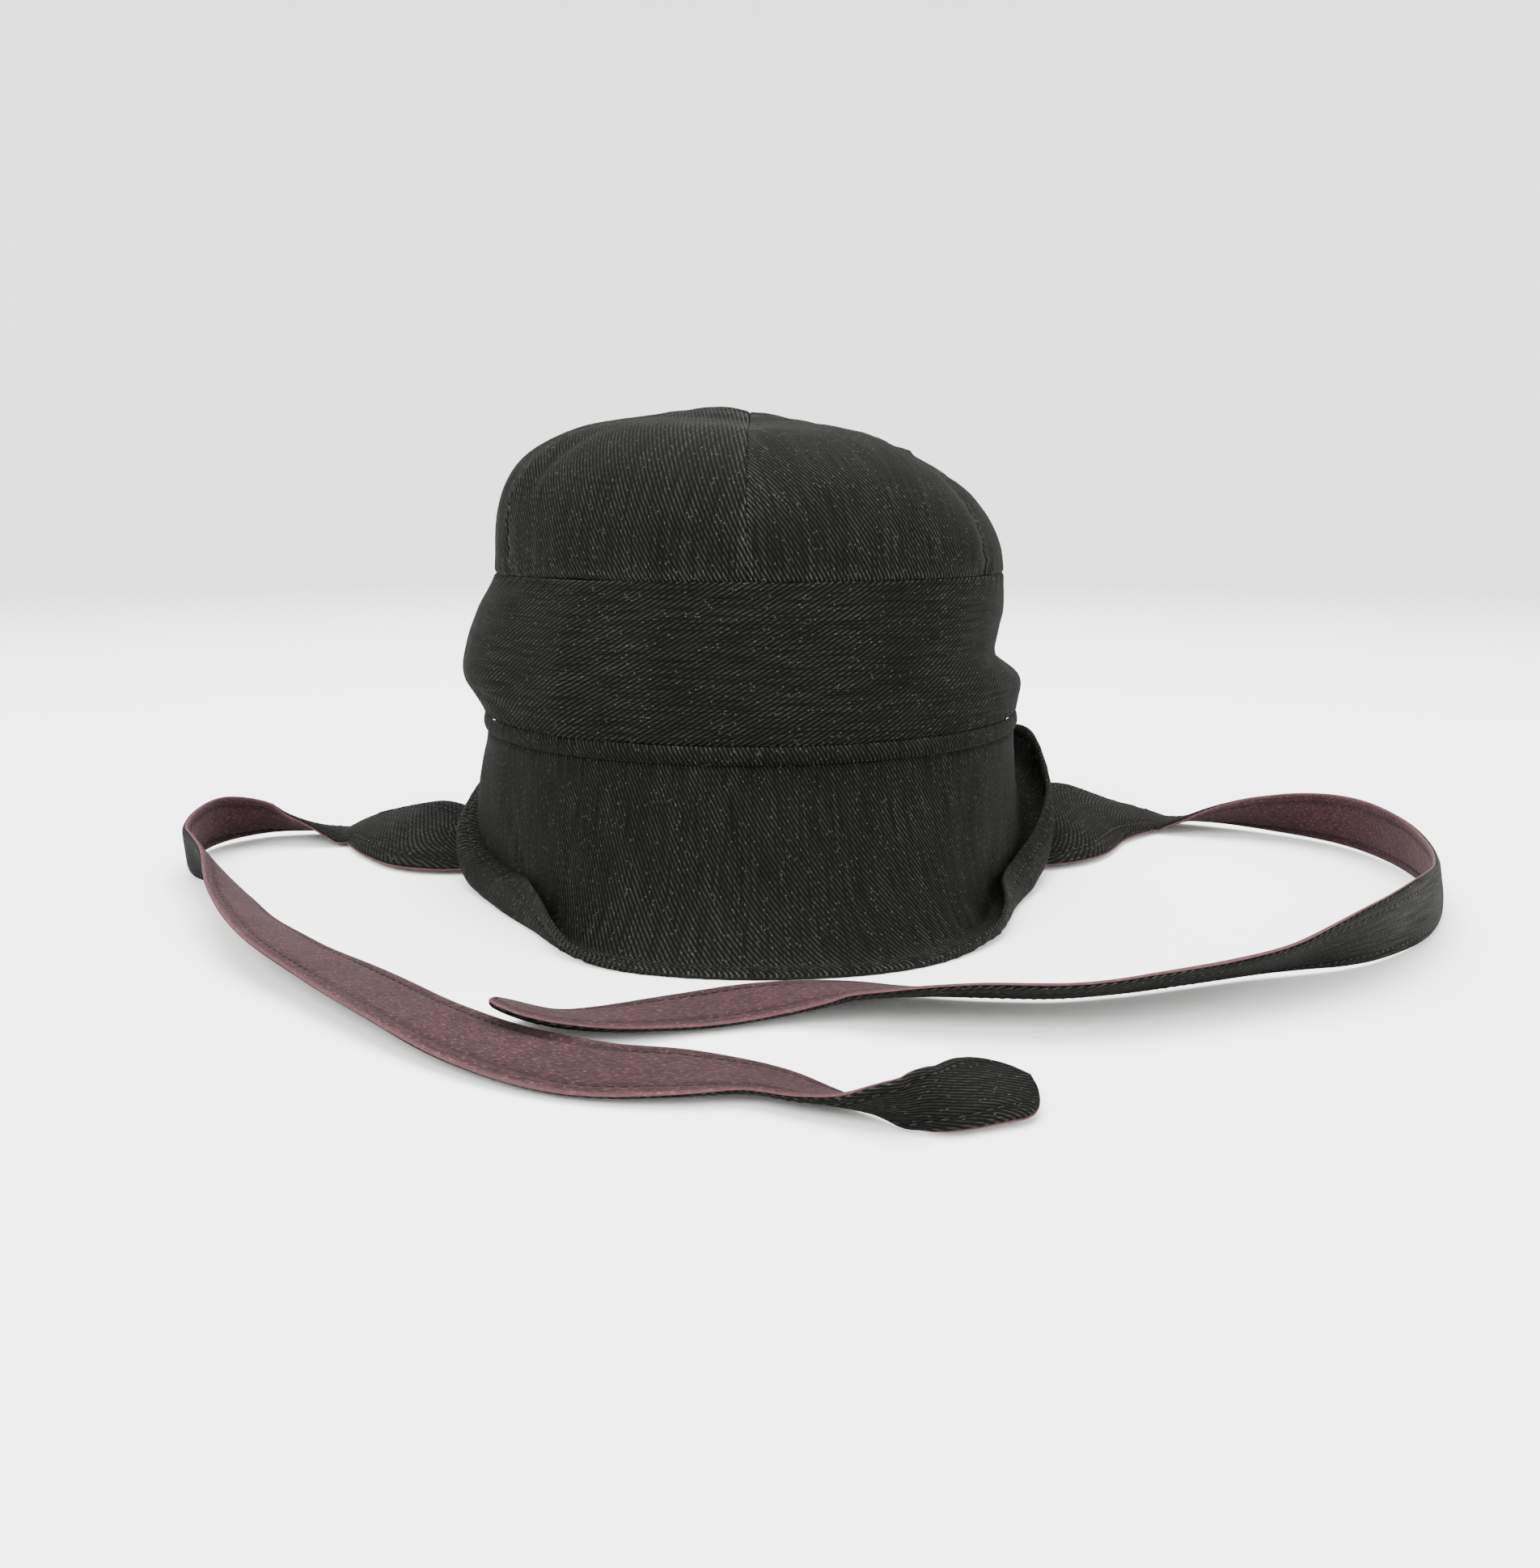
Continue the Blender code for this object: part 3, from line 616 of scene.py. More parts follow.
def tie_frame(line, lengths, run):
    """The centre, the direction along, the bank in radians and the width at a length along the tie."""
    low, high = 0, len(line) - 1
    while high - low > 1:
        middle = (low + high) // 2
        if lengths[middle] <= run:
            low = middle
        else:
            high = middle
    here, there = line[low], line[high]
    share = min(max((run - lengths[low]) / (lengths[high] - lengths[low]), 0), 1.5)
    before, after = line[max(low - 2, 0)][0], line[min(low + 3, len(line) - 1)][0]
    bank = math.radians(here[1] + (there[1] - here[1]) * min(share, 1))
    width = here[2] + (there[2] - here[2]) * min(share, 1)
    return here[0].lerp(there[0], share), (after - before).normalized(), bank, width


def tie_point(sizes, line, lengths, length, side, run, sideways, lift):
    """A point of a tie. sideways runs from -1 to 1 and lift is from its middle towards the lining, in
    metres."""
    centre, heading, bank, width = tie_frame(line, lengths, run)
    level = Vector((heading.x, heading.y, 0)).normalized()
    inside = Vector((side * level.y, -side * level.x, 0))
    across = inside * math.cos(bank) - Vector((0, 0, math.sin(bank)))
    across = (across - heading * across.dot(heading)).normalized()
    lining_side = heading.cross(across) * -side
    tip = max(run - (length - width / 2), 0) / (width / 2)
    half = width / 2 * math.sqrt(max(1 - tip * tip, 0.004))
    dish = -sizes.tie_camber * (1 - min(abs(sideways), 1) ** 2)
    return centre + across * sideways * half + lining_side * (lift + dish)


def ply_section(sizes, ply):
    """The outline of one ply across the tie, as rows of (sideways, lift) round it. ply is 1 for the lining
    and -1 for the denim."""
    half = sizes.tie_width / 2
    groove = 1 - sizes.stitch_inset / half
    thick = sizes.lining_ply if ply > 0 else sizes.denim_ply
    groove_depth = 0.00062 if ply > 0 else 0.00035
    edge = 1.0 if ply > 0 else 0.975
    face = []
    for step in range(33):
        place = -1 + step / 16
        crowd = place - 0.05 * math.sin(2 * math.pi * place)
        lift = thick * (1 - 0.75 * abs(crowd) ** 10)
        lift -= groove_depth * math.exp(-(((abs(crowd) - groove) / 0.055) ** 2))
        lift += (0.0002 if ply > 0 else 0.0001) * math.cos(math.pi / 2 * min(abs(crowd) / groove, 1))
        face.append((crowd * edge, ply * (SEAM_GAP / 2 + lift)))
    back = [(edge * place, ply * SEAM_GAP / 2) for place in (1, 0.5, 0, -0.5, -1)]
    return face + back


def shell(name, columns, rows, place, cloth_place, closed, wear_shade_and_sheen=None):
    """A cloth surface: a flat grid laid by place(u, v), with its weave laid out in metres by cloth_place."""
    bm = bmesh.new()
    weave = bm.loops.layers.uv.new("cloth")
    # Per vertex: paler where the cloth is worn; on the ties it also holds painted shade along the stitch
    # grooves and painted sheen at the lining's edges.
    worn = bm.verts.layers.float.new("wear_shade_and_sheen")
    bmesh.ops.create_grid(bm, x_segments=columns, y_segments=rows, size=0.5)
    for face in bm.faces:
        for loop in face.loops:
            loop[weave].uv = cloth_place(loop.vert.co.x + 0.5, loop.vert.co.y + 0.5)
    for vert in bm.verts:
        u, v = vert.co.x + 0.5, vert.co.y + 0.5
        vert[worn] = wear_shade_and_sheen(u, v) if wear_shade_and_sheen else 0
        vert.co = place(u, v)
    if closed:
        bmesh.ops.remove_doubles(bm, verts=bm.verts, dist=1e-6)
    mesh = bpy.data.meshes.new(name)
    bm.to_mesh(mesh)
    bm.free()
    mesh.shade_smooth()
    piece = bpy.data.objects.new(name, mesh)
    bpy.context.scene.collection.objects.link(piece)
    return piece


def walled(piece, thickness):
    """Gives a surface its wall, inwards from its face, and softens the wall's edges."""
    solid = piece.modifiers.new("wall", "SOLIDIFY")
    solid.thickness = thickness
    solid.offset = -1
    solid.use_even_offset = True
    solid.use_quality_normals = True
    edge = piece.modifiers.new("edge", "BEVEL")
    edge.width = 0.0004
    edge.segments = 2
    edge.limit_method = "ANGLE"
    edge.angle_limit = math.radians(60)
    return piece


def sewn_in(piece, finish, slot_name, *nodes):
    """Dresses a piece, sets it on the hat's body and lets it stand for its nodes."""
    piece.data.materials.clear()
    piece.data.materials.append(finish)
    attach(piece, "root")
    if nodes:
        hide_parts(*nodes)
    return piece


def stitches(name, spots, length, thickness):
    """A row of sewn stitches. Each spot is a middle, the way the thread runs and the way out of the cloth."""
    bm = bmesh.new()
    for middle, heading, outwards in spots:
        made = bmesh.ops.create_icosphere(bm, subdivisions=1, radius=1)
        side = heading.cross(outwards).normalized()
        out = side.cross(heading).normalized()
        for vert in made["verts"]:
            x, y, z = vert.co
            vert.co = middle + heading * x * length / 2 + side * y * thickness / 2 + out * z * thickness / 2
    bmesh.ops.recalc_face_normals(bm, faces=bm.faces)
    mesh = bpy.data.meshes.new(name)
    bm.to_mesh(mesh)
    bm.free()
    mesh.shade_smooth()
    piece = bpy.data.objects.new(name, mesh)
    bpy.context.scene.collection.objects.link(piece)
    return piece


def add_node(tree, kind, links=None, **settings):
    """A shader node with its settings, and its inputs linked or set by name or number."""
    made = tree.nodes.new(kind)
    for setting, value in settings.items():
        setattr(made, setting, value)
    for socket, value in (links or {}).items():
        if isinstance(value, bpy.types.NodeSocket):
            tree.links.new(value, made.inputs[socket])
        else:
            made.inputs[socket].default_value = value
    return made


def ranged(tree, value, low, high, to_low=0.0, to_high=1.0):
    """The value moved from the range low to high into the range to_low to to_high."""
    limits = {"Value": value, "From Min": low, "From Max": high, "To Min": to_low, "To Max": to_high}
    return add_node(tree, "ShaderNodeMapRange", limits).outputs["Result"]


def maths(tree, operation, first, second, clamp=False):
    """Two values combined."""
    return add_node(
        tree, "ShaderNodeMath", {0: first, 1: second}, operation=operation, use_clamp=clamp
    ).outputs[0]


def new_material(name):
    """An empty material and its tree."""
    made = bpy.data.materials.get(name)
    if made:
        return made, None
    made = bpy.data.materials.new(name)
    made.use_nodes = True
    made.node_tree.nodes.clear()
    return made, made.node_tree


def opaque(colour):
    return (*colour, 1.0)


def washed_denim(colours, name="washed_black_denim_twill"):
    """Right-hand twill of black dyed cotton, washed: matte and a little hairy, with pale worn twill lines,
    uneven slubs along the warp and undyed flecks."""
    made, tree = new_material(name)
    if tree is None:
        return made
    cloth = add_node(tree, "ShaderNodeUVMap", uv_map="cloth").outputs["UV"]
    # Twill lines 30 degrees off the warp. Real ones are about 0.7 mm apart; 1.25 mm is as fine as shows.
    leaning = add_node(
        tree, "ShaderNodeMapping", {"Vector": cloth, "Rotation": (0, 0, math.radians(-30))}
    ).outputs["Vector"]
    twill = add_node(
        tree, "ShaderNodeTexWave",
        {"Vector": leaning, "Scale": math.pi / 10 / (1.25 * MM), "Distortion": 1.3, "Detail": 2.0,
         "Detail Scale": 0.7, "Detail Roughness": 0.6},
        wave_type="BANDS", bands_direction="X",
    ).outputs["Fac"]
    # Slubs: each warp thread swells and thins over 10 to 40 mm, and threads are about 0.6 mm apart.
    stretched = add_node(
        tree, "ShaderNodeMapping", {"Vector": cloth, "Scale": (1500, 55, 1)}
    ).outputs["Vector"]
    slub = add_node(
        tree, "ShaderNodeTexNoise", {"Vector": stretched, "Scale": 1.0, "Detail": 3.0, "Roughness": 0.6},
        noise_dimensions="2D",
    ).outputs["Fac"]
    broad_place = add_node(
        tree, "ShaderNodeMapping", {"Vector": cloth, "Scale": (420, 30, 1)}
    ).outputs["Vector"]
    broad = add_node(
        tree, "ShaderNodeTexNoise", {"Vector": broad_place, "Scale": 1.0, "Detail": 3.0, "Roughness": 0.55},
        noise_dimensions="2D",
    ).outputs["Fac"]
    patchy = add_node(
        tree, "ShaderNodeTexNoise", {"Vector": cloth, "Scale": 26.0, "Detail": 3.0, "Roughness": 0.6},
        noise_dimensions="2D",
    ).outputs["Fac"]
    lines = ranged(tree, twill, 0.38, 0.95, 0.0, 1.0)
    thread_light = ranged(tree, slub, 0.34, 0.70, 0.12, 1.0)
    streak_light = ranged(tree, broad, 0.34, 0.68, 0.62, 1.0)
    patch_light = ranged(tree, patchy, 0.3, 0.7, 0.7, 1.1)
    # Paler where the cloth is worn; on the ties, negative values are painted shade that darkens the stitch
    # grooves.
    wear_shade_and_sheen = add_node(tree, "ShaderNodeAttribute", attribute_name="wear_shade_and_sheen").outputs["Fac"]
    worn = add_node(
        tree, "ShaderNodeMath", {0: wear_shade_and_sheen, 1: 0.55, 2: 0.52}, operation="MULTIPLY_ADD"
    ).outputs[0]
    ground = maths(tree, "MULTIPLY", thread_light, 0.05)
    raised = maths(tree, "MULTIPLY", lines, thread_light)
    both = maths(tree, "ADD", raised, ground)
    streaked = maths(tree, "MULTIPLY", both, streak_light)
    patched = maths(tree, "MULTIPLY", streaked, patch_light)
    pale = maths(tree, "MULTIPLY", patched, worn, clamp=True)
    dyed = add_node(
        tree, "ShaderNodeMix",
        {"Factor": pale, 6: opaque(colours.denim_shade), 7: opaque(colours.denim_line)}, data_type="RGBA",
    ).outputs[2]
    # Flecks of undyed cotton, 0.3 to 0.5 mm long.
    fleck_place = add_node(
        tree, "ShaderNodeMapping", {"Vector": cloth, "Scale": (1100, 760, 1)}
    ).outputs["Vector"]
    fleck = add_node(
        tree, "ShaderNodeTexVoronoi", {"Vector": fleck_place, "Scale": 1.0, "Randomness": 1.0},
        voronoi_dimensions="2D", feature="F1",
    )
    chosen = add_node(tree, "ShaderNodeSeparateColor", {"Color": fleck.outputs["Color"]}).outputs["Red"]
    rare = maths(tree, "GREATER_THAN", chosen, 0.94)
    close = ranged(tree, fleck.outputs["Distance"], 0.06, 0.30, 0.20, 0.0)
    flecked = maths(tree, "MULTIPLY", rare, close)
    coloured = add_node(
        tree, "ShaderNodeMix", {"Factor": flecked, 6: dyed, 7: opaque(colours.denim_fleck)}, data_type="RGBA",
    ).outputs[2]
    height = maths(tree, "ADD", both, broad)
    raised_threads = add_node(
        tree, "ShaderNodeBump", {"Height": height, "Strength": 0.55, "Distance": 0.00035}
    ).outputs["Normal"]
    rough = ranged(tree, slub, 0.0, 1.0, 0.82, 0.95)
    shader = add_node(
        tree, "ShaderNodeBsdfPrincipled",
        {"Base Color": coloured, "Roughness": rough, "Normal": raised_threads, "IOR": 1.47,
         "Specular IOR Level": 0.05},
    )
    add_node(tree, "ShaderNodeOutputMaterial", {"Surface": shader.outputs["BSDF"]})
    return made


def brushed_cotton(colours, name="brushed_cotton_pile"):
    """Cotton brushed up into a short soft pile: no gloss, a faint sheen, a pale sheen painted into its colour
    at its edges and clumps of pile with paler tips."""
    made, tree = new_material(name)
    if tree is None:
        return made
    cloth = add_node(tree, "ShaderNodeUVMap", uv_map="cloth").outputs["UV"]
    # Pile clumps are 0.5 to 1 mm across and lie along the tie.
    lying = add_node(tree, "ShaderNodeMapping", {"Vector": cloth, "Scale": (1100, 620, 1)}).outputs["Vector"]
    pile = add_node(
        tree, "ShaderNodeTexNoise", {"Vector": lying, "Scale": 1.0, "Detail": 4.0, "Roughness": 0.7},
        noise_dimensions="2D",
    ).outputs["Fac"]
    clumps = add_node(
        tree, "ShaderNodeTexNoise", {"Vector": cloth, "Scale": 190.0, "Detail": 3.0, "Roughness": 0.6},
        noise_dimensions="2D",
    ).outputs["Fac"]
    drift = add_node(
        tree, "ShaderNodeTexNoise", {"Vector": cloth, "Scale": 34.0, "Detail": 2.0, "Roughness": 0.5},
        noise_dimensions="2D",
    ).outputs["Fac"]
    light = ranged(tree, pile, 0.34, 0.66)
    clump_light = ranged(tree, clumps, 0.3, 0.7, 0.35, 1.0)
    drift_light = ranged(tree, drift, 0.3, 0.7, 0.6, 1.1)
    mixed = maths(tree, "MULTIPLY", light, clump_light)
    drifted = maths(tree, "MULTIPLY", mixed, drift_light)
    wear_shade_and_sheen = add_node(tree, "ShaderNodeAttribute", attribute_name="wear_shade_and_sheen").outputs["Fac"]
    # Painted shade: negative values darken the pile's ground along the stitch grooves.
    groove_shade = maths(tree, "ADD", wear_shade_and_sheen, 1.0, clamp=True)
    shade = maths(tree, "MULTIPLY", drifted, groove_shade, clamp=True)
    ground = add_node(
        tree, "ShaderNodeMix",
        {"Factor": shade, 6: opaque(colours.lining_deep), 7: opaque(colours.lining_pile)}, data_type="RGBA",
    ).outputs[2]
    tips = ranged(tree, pile, 0.60, 0.74, 0.0, 0.75)
    # Painted sheen: the pile is coloured paler towards the tie's edges.
    edge_sheen = maths(tree, "MULTIPLY", wear_shade_and_sheen, 0.45)
    paler = maths(tree, "ADD", tips, edge_sheen, clamp=True)
    coloured = add_node(
        tree, "ShaderNodeMix", {"Factor": paler, 6: ground, 7: opaque(colours.lining_tip)}, data_type="RGBA",
    ).outputs[2]
    height = maths(tree, "ADD", pile, clumps)
    fuzzy = add_node(
        tree, "ShaderNodeBump", {"Height": height, "Strength": 0.8, "Distance": 0.0006}
    ).outputs["Normal"]
    rough = ranged(tree, pile, 0.0, 1.0, 0.88, 1.0)
    shader = add_node(
        tree, "ShaderNodeBsdfPrincipled",
        {"Base Color": coloured, "Roughness": rough, "Normal": fuzzy, "IOR": 1.47, "Specular IOR Level": 0.10,
         "Sheen Weight": 0.06, "Sheen Roughness": 0.45, "Sheen Tint": (0.75, 0.6, 0.6, 1.0)},
    )
    add_node(tree, "ShaderNodeOutputMaterial", {"Surface": shader.outputs["BSDF"]})
    return made


def sewing_thread(colours, name="spun_polyester_thread"):
    """Spun polyester sewing thread: softly shining, with its twist showing as fine bands."""
    made, tree = new_material(name)
    if tree is None:
        return made
    place = add_node(tree, "ShaderNodeTexCoord").outputs["Object"]
    # The twist repeats about every 0.6 mm.
    twist = add_node(
        tree, "ShaderNodeTexWave", {"Vector": place, "Scale": math.pi / 10 / (0.6 * MM), "Distortion": 1.5},
        wave_type="BANDS", bands_direction="DIAGONAL",
    ).outputs["Fac"]
    dark = tuple(0.6 * part for part in colours.thread)
    coloured = add_node(
        tree, "ShaderNodeMix", {"Factor": twist, 6: opaque(dark), 7: opaque(colours.thread)},
        data_type="RGBA",
    ).outputs[2]
    ridges = add_node(
        tree, "ShaderNodeBump", {"Height": twist, "Strength": 0.5, "Distance": 0.0001}
    ).outputs["Normal"]
    rough = ranged(tree, twist, 0.0, 1.0, 0.5, 0.65)
    shader = add_node(
        tree, "ShaderNodeBsdfPrincipled",
        {"Base Color": coloured, "Roughness": rough, "Normal": ridges, "IOR": 1.57,
         "Specular IOR Level": 0.12},
    )
    add_node(tree, "ShaderNodeOutputMaterial", {"Surface": shader.outputs["BSDF"]})
    return made


def painted_floor(colours, name="matte_white_paint"):
    """Flat white studio paint: even and matte, with a faint roller texture."""
    made, tree = new_material(name)
    if tree is None:
        return made
    place = add_node(tree, "ShaderNodeTexCoord").outputs["Object"]
    stipple = add_node(
        tree, "ShaderNodeTexNoise", {"Vector": place, "Scale": 60.0, "Detail": 2.0}
    ).outputs["Fac"]
    rough = ranged(tree, stipple, 0.0, 1.0, 0.85, 0.95)
    shader = add_node(
        tree, "ShaderNodeBsdfPrincipled",
        {"Base Color": opaque(colours.floor), "Roughness": rough, "Specular IOR Level": 0.1},
    )
    add_node(tree, "ShaderNodeOutputMaterial", {"Surface": shader.outputs["BSDF"]})
    return made


def crown_gore(sizes, number):
    """One gore of the crown, from seam to seam and from the band to the top."""
    pitch = 360 / GORES
    first = number * pitch
    columns, rows = 44, 60
    curves = {}

    def spot(u, v):
        across = crowded(u, 0.12)
        azimuth = first + across * pitch
        if azimuth not in curves:
            points = crown_curve(sizes, azimuth)
            curves[azimuth] = points, lengths_along(points)
        points, lengths = curves[azimuth]
        climb = (v - 0.11 * math.sin(2 * math.pi * v)) * (1 - 0.0012 / lengths[-1])
        return across, azimuth, climb, points, lengths

    def place(u, v):
        across, azimuth, climb, points, lengths = spot(u, v)
        reach = at_length(points, lengths, climb * lengths[-1])[0].x
        shy = math.degrees(SEAM_GAP / 2 / reach)
        return crown_point(sizes, azimuth + shy * (1 - 2 * across), climb, points, lengths)

    def cloth_place(u, v):
        across, _, climb, points, lengths = spot(u, v)
        reach = at_length(points, lengths, climb * lengths[-1])[0].x
        return (math.radians(pitch) * (across - 0.5) * reach + number * 0.31, climb * lengths[-1])

    def wear_shade_and_sheen(u, v):
        across, _, climb, points, lengths = spot(u, v)
        reach = at_length(points, lengths, climb * lengths[-1])[0].x
        from_seam = min(across, 1 - across) * math.radians(pitch) * reach
        from_base = climb * lengths[-1]
        return max(math.exp(-((from_seam / 0.004) ** 2)), math.exp(-((from_base / 0.003) ** 2)))

    piece = shell(f"gore_cloth_{number + 1}", columns, rows, place, cloth_place, False, wear_shade_and_sheen)
    return walled(piece, sizes.cloth)


def ring(name, sizes, point, height, rows, warp_round, wear_reach, spot_of_weave):
    """A ring of cloth between two seams, with its wall."""
    girth = 2 * math.pi * sizes.head_radius

    def cloth_place(u, v):
        across, length = height * crowded(v), girth * u
        return (spot_of_weave - across, length) if warp_round else (length, across + spot_of_weave)

    def wear_shade_and_sheen(u, v):
        edge = min(v, 1 - v) * height
        return math.exp(-((edge / wear_reach) ** 2))

    piece = shell(
        name, 320, rows, lambda u, v: point(sizes, 360 * u + 180, crowded(v)), cloth_place, True, wear_shade_and_sheen,
    )
    return walled(piece, sizes.cloth)


class HatOperator:
    """What every piece's operator has in common."""

    bl_options = {"REGISTER", "UNDO"}


class HAT_OT_crown(HatOperator, bpy.types.Operator):
    """Builds the six gores of the crown"""

    bl_idname = "hat.crown"
    bl_label = "Crown"

    def execute(self, context):
        sizes, colours = context.scene.hat_sizes, context.scene.hat_colours
        for number in range(GORES):
            name = f"crown_gore_{number + 1}"
            sewn_in(crown_gore(sizes, number), washed_denim(colours), "washed_black_denim", name)
        return {"FINISHED"}


class HAT_OT_band(HatOperator, bpy.types.Operator):
    """Builds the side band and the narrow welt under it"""

    bl_idname = "hat.band"
    bl_label = "Side band and welt"

    def execute(self, context):
        sizes, colours = context.scene.hat_sizes, context.scene.hat_colours
        band = ring("band_cloth", sizes, band_point, sizes.band_height, 56, True, 0.0025, 2.0)
        sewn_in(band, washed_denim(colours), "washed_black_denim", "side_band")
        welt = ring("welt_cloth", sizes, welt_point, sizes.welt_height, 12, False, 0.0012, 3.0)
        sewn_in(welt, washed_denim(colours), "washed_black_denim", "brim_welt")
        return {"FINISHED"}


class HAT_OT_brim(HatOperator, bpy.types.Operator):
    """Builds the brim, rolled up at both sides, and the stitches along its hem"""

    bl_idname = "hat.brim"
    bl_label = "Brim"

    def execute(self, context):
        sizes, colours = context.scene.hat_sizes, context.scene.hat_colours
        rows = 168
        curves = {}

        def curve_at(azimuth):
            if azimuth not in curves:
                points = brim_curve(sizes, azimuth)
                curves[azimuth] = points, lengths_along(points)
            return curves[azimuth]

        def spot(v):
            """Round the cloth's section: up to the hem along the underside, and back along the top face."""
            row = round(v * rows)
            down = min(row, rows - row) / (rows / 2)
            share = 1 - (1 - down) ** 1.6
            return share, 0.0 if row < rows / 2 else 1.0 if row > rows / 2 else 0.5

        def place(u, v):
            share, depth_in = spot(v)
            azimuth = 360 * (u % 1) + 180
            return brim_point(sizes, azimuth, share, depth_in, *curve_at(azimuth))

        def cloth_place(u, v):
            share, depth_in = spot(v)
            length = curve_at(360 * (u % 1) + 180)[1][-1]
            side = 4.0 if depth_in < 0.5 else 4.5
            return (math.tau * sizes.head_radius * 1.12 * u, side - share * length)

        def wear_shade_and_sheen(u, v):
            share, _ = spot(v)
            from_hem = (1 - share) * curve_at(360 * (u % 1) + 180)[1][-1]
            at_hem = math.exp(-((from_hem / 0.0016) ** 2))
            above_hem = 0.5 * math.exp(-(((from_hem - 0.0085) / 0.004) ** 2))
            return max(at_hem, above_hem)

        brim = shell("brim_cloth", 300, rows, place, cloth_place, True, wear_shade_and_sheen)
        sewn_in(brim, washed_denim(colours), "washed_black_denim", "brim")
        spots = []
        azimuth = 0.0
        while azimuth < 359.4:
            points, lengths = curve_at(azimuth)
            share = 1 - sizes.stitch_inset / lengths[-1]
            for depth_in, sign in ((1.0, 1), (0.0, -1)):
                here = brim_point(sizes, azimuth, share, depth_in, points, lengths)
                ahead = brim_point(sizes, azimuth + 1, share, depth_in, *curve_at(azimuth + 1))
                other = brim_point(sizes, azimuth, share, 1 - depth_in, points, lengths)
                outwards = (here - other).normalized()
                heading = (ahead - here).normalized()
                spots.append((here - outwards * 0.00005, heading, outwards))
            reach = math.hypot(here.x, here.y)
            azimuth += math.degrees(sizes.stitch_pitch / reach)
        sewing = stitches("brim_stitching", spots, sizes.stitch_pitch * 0.8, sizes.thread)
        sewn_in(sewing, sewing_thread(colours), "washed_black_denim")
        return {"FINISHED"}


# How far the paler place on a tie reaches along it, in metres.
PALE_PLACE_REACH = 0.055


def build_tie(context, name, stations, length, side, pale_place_at=0.0, paling=0.0):
    """One tie: its denim ply, its lining ply and two rows of stitches on each face. Its denim can be made
    paler round one place."""
    sizes, colours = context.scene.hat_sizes, context.scene.hat_colours
    line = tie_line(sizes, stations, side)
    lengths = lengths_along([row[0] for row in line])
    columns = 440
    half = sizes.tie_width / 2
    groove = 1 - sizes.stitch_inset / half

    def run(u):
        """Even steps to the round tip, and closer ones round it."""
        turn_from = 0.955
        straight = (length - sizes.tie_width / 2) / length
        if u <= turn_from:
            return length * straight * u / turn_from
        turned = math.sin(math.pi / 2 * (u - turn_from) / (1 - turn_from))
        return length * (straight + (1 - straight) * turned)

    flat_area = 0.0
    for step in range(400):
        here = length * (step + 0.5) / 400
        flat_area += tie_frame(line, lengths, here)[3] * length / 400
    for ply, suffix, look in ((-1, "", "_denim"), (1, "_lining", "_pile")):
        section = ply_section(sizes, ply)
        around_section = section + section[:1]
        rows = len(section)

        def place(u, v):
            sideways, lift = around_section[round(v * rows)]
            at = run(u)
            waves = noise.noise(Vector((at / 0.03, ply * 5, sideways * 0.8)))
            fullness = waves * 0.00025 * (abs(lift) > 0.0003)
            point = tie_point(sizes, line, lengths, length, side, at, sideways, lift + ply * fullness)
            point.z = max(point.z, 0.00005)
            return point

        def cloth_place(u, v):
            at, half = run(u), sizes.tie_width / 2
            past = min(max((at - (length - half)) / half, 0), 1)
            sideways = around_section[round(v * rows)][0] * half * math.sqrt(1 - past * past)
            return (6.0 + ply + side * 0.37 - sideways, at)

        def wear_shade_and_sheen(u, v):
            sideways = abs(around_section[round(v * rows)][0])
            # The denim is coloured paler round one place along the tie.
            paled = paling * math.exp(-(((run(u) - pale_place_at) / PALE_PLACE_REACH) ** 2)) if ply < 0 else 0
            # Painted shade: the cloth is coloured darker along each stitch groove.
            groove_shade = 0.8 * math.exp(-(((sideways - groove) / 0.045) ** 2))
            # Towards the edges the value rises: real wear on the denim, painted sheen on the lining.
            return max(sideways - 0.9, 0) / 0.1 + paled - groove_shade

        piece = shell(name + look, columns, rows, place, cloth_place, True, wear_shade_and_sheen)
        finish = brushed_cotton(colours) if ply > 0 else washed_denim(colours)
        slot_name = "mauve_brushed_cotton" if ply > 0 else "washed_black_denim"
        closing = bmesh.new()
        closing.from_mesh(piece.data)
        bmesh.ops.holes_fill(closing, edges=[edge for edge in closing.edges if edge.is_boundary], sides=0)
        bmesh.ops.recalc_face_normals(closing, faces=closing.faces)
        closing.to_mesh(piece.data)
        closing.free()
        sewn_in(piece, finish, slot_name, name + suffix)
    spots = []
    at = 0.045
    while at < length - half * 0.9:
        for ply in (-1, 1):
            thick = sizes.lining_ply - 0.0005 if ply > 0 else sizes.denim_ply - 0.00025
            for sideways in (-groove, groove):
                lift = ply * (SEAM_GAP / 2 + thick)
                here = tie_point(sizes, line, lengths, length, side, at, sideways, lift)
                ahead = tie_point(sizes, line, lengths, length, side, at + MM, sideways, lift)
                under = tie_point(sizes, line, lengths, length, side, at, sideways, 0)
                if here.z > 0.0006:
                    spots.append((here, (ahead - here).normalized(), (here - under).normalized()))
        at += sizes.stitch_pitch
    sewing = stitches(name + "_stitching", spots, sizes.stitch_pitch * 0.78, sizes.thread)
    sewn_in(sewing, sewing_thread(colours), "washed_black_denim")


class HAT_OT_left_tie(HatOperator, bpy.types.Operator):
    """Builds the left tie with its lining and stitches"""

    bl_idname = "hat.left_tie"
    bl_label = "Left tie"

    def execute(self, context):
        build_tie(context, "left_tie", LEFT_TIE, context.scene.hat_sizes.left_tie_length, -1)
        return {"FINISHED"}


class HAT_OT_right_tie(HatOperator, bpy.types.Operator):
    """Builds the right tie with its lining and stitches"""

    bl_idname = "hat.right_tie"
    bl_label = "Right tie"

    def execute(self, context):
        length = context.scene.hat_sizes.right_tie_length
        build_tie(context, "right_tie", RIGHT_TIE, length, 1, pale_place_at=0.345, paling=2.2)
        return {"FINISHED"}


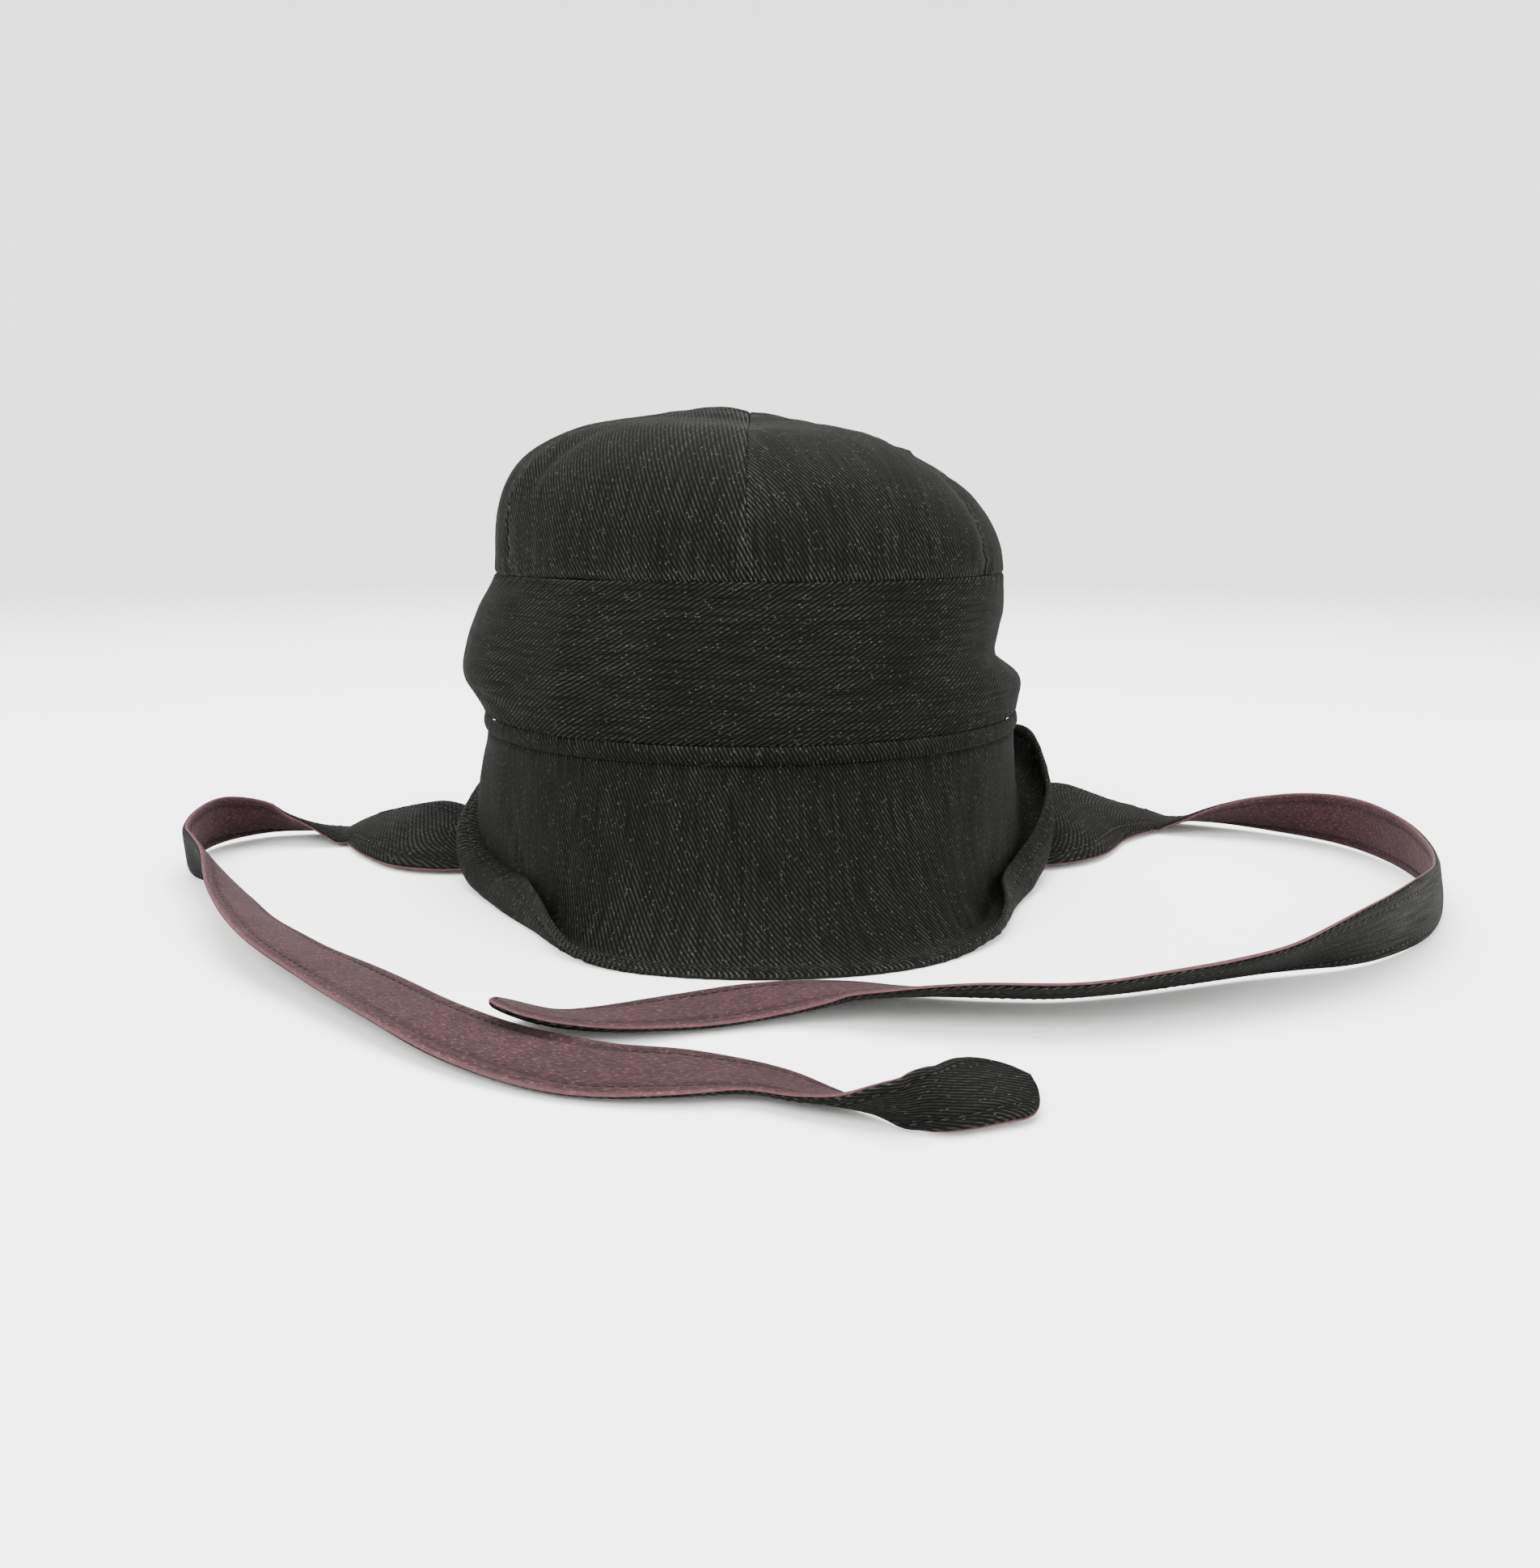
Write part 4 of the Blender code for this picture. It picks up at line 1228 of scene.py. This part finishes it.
class HAT_OT_studio(HatOperator, bpy.types.Operator):
    """Builds the pale floor, the soft lights and the camera"""

    bl_idname = "hat.studio"
    bl_label = "Studio"

    def execute(self, context):
        scene = context.scene
        bm = bmesh.new()
        profile = [(0.02, 0.0), (2.4, 0.0)]
        for step in range(1, 9):
            turn = math.pi / 2 * step / 8
            profile.append((2.4 + 0.8 * math.sin(turn), 0.8 - 0.8 * math.cos(turn)))
        profile.append((3.2, 2.2))
        corners = [bm.verts.new((reach, 0, height)) for reach, height in profile]
        edges = [bm.edges.new(pair) for pair in zip(corners, corners[1:])]
        bmesh.ops.spin(
            bm, geom=corners + edges, cent=(0, 0, 0), axis=(0, 0, 1), angle=math.tau, steps=72,
            use_merge=True,
        )
        bmesh.ops.remove_doubles(bm, verts=bm.verts, dist=1e-5)
        bmesh.ops.holes_fill(
            bm, edges=[edge for edge in bm.edges if edge.is_boundary and edge.verts[0].co.z < 0.1], sides=0
        )
        bmesh.ops.recalc_face_normals(bm, faces=bm.faces)
        bmesh.ops.reverse_faces(bm, faces=bm.faces)
        mesh = bpy.data.meshes.new("floor")
        bm.to_mesh(mesh)
        bm.free()
        mesh.shade_smooth()
        mesh.materials.append(painted_floor(scene.hat_colours))
        floor = bpy.data.objects.new("floor", mesh)
        scene.collection.objects.link(floor)

        world = bpy.data.worlds.new("studio")
        world.use_nodes = True
        world.node_tree.nodes["Background"].inputs["Color"].default_value = (1.0, 1.0, 1.0, 1.0)
        world.node_tree.nodes["Background"].inputs["Strength"].default_value = 1.5
        scene.world = world
        for name, place, aim, size, power in (
            ("key_light", (-0.9, -1.3, 1.5), (0.0, 0.0, 0.05), 1.1, 60.0),
            ("fill_light", (1.3, -1.0, 0.9), (0.0, 0.0, 0.05), 1.2, 26.0),
            ("top_light", (0.0, 0.3, 1.8), (0.0, -0.05, 0.0), 1.6, 110.0),
        ):
            light = bpy.data.lights.new(name, "AREA")
            light.size = size
            light.energy = power
            lamp = bpy.data.objects.new(name, light)
            lamp.location = place
            lamp.rotation_euler = (Vector(aim) - Vector(place)).to_track_quat("-Z", "Y").to_euler()
            scene.collection.objects.link(lamp)

        lens = bpy.data.cameras.new("camera")
        lens.lens = 31.64
        lens.sensor_width = 36
        lens.clip_start = 0.01
        camera = bpy.data.objects.new("camera", lens)
        camera.location = (0.007, -0.513, 0.129)
        camera.rotation_euler = (math.radians(79.1), 0, 0)
        scene.collection.objects.link(camera)
        scene.camera = camera
        return {"FINISHED"}


OPERATORS = (HAT_OT_crown, HAT_OT_band, HAT_OT_brim, HAT_OT_left_tie, HAT_OT_right_tie, HAT_OT_studio)


class HAT_PT_pieces(bpy.types.Panel):
    """The hat's pieces, sizes and colours"""

    bl_idname = "HAT_PT_pieces"
    bl_label = "Denim hat"
    bl_space_type = "VIEW_3D"
    bl_region_type = "UI"
    bl_category = "Hat"

    def draw(self, context):
        layout = self.layout
        for operator in OPERATORS:
            layout.operator(operator.bl_idname)
        for group in (context.scene.hat_sizes, context.scene.hat_colours):
            column = layout.column(align=True)
            for name in group.bl_rna.properties.keys():
                if name not in ("rna_type", "name"):
                    column.prop(group, name)


CLASSES = (HatSizes, HatColours, *OPERATORS, HAT_PT_pieces)


def register():
    for made in CLASSES:
        bpy.utils.register_class(made)
    bpy.types.Scene.hat_sizes = bpy.props.PointerProperty(type=HatSizes)
    bpy.types.Scene.hat_colours = bpy.props.PointerProperty(type=HatColours)


def unregister():
    del bpy.types.Scene.hat_colours
    del bpy.types.Scene.hat_sizes
    for made in reversed(CLASSES):
        bpy.utils.unregister_class(made)


def main():
    register()
    bpy.ops.hat.studio()
    bpy.ops.hat.crown()
    bpy.ops.hat.band()
    bpy.ops.hat.brim()
    bpy.ops.hat.left_tie()
    bpy.ops.hat.right_tie()


if __name__ == "__main__":
    main()
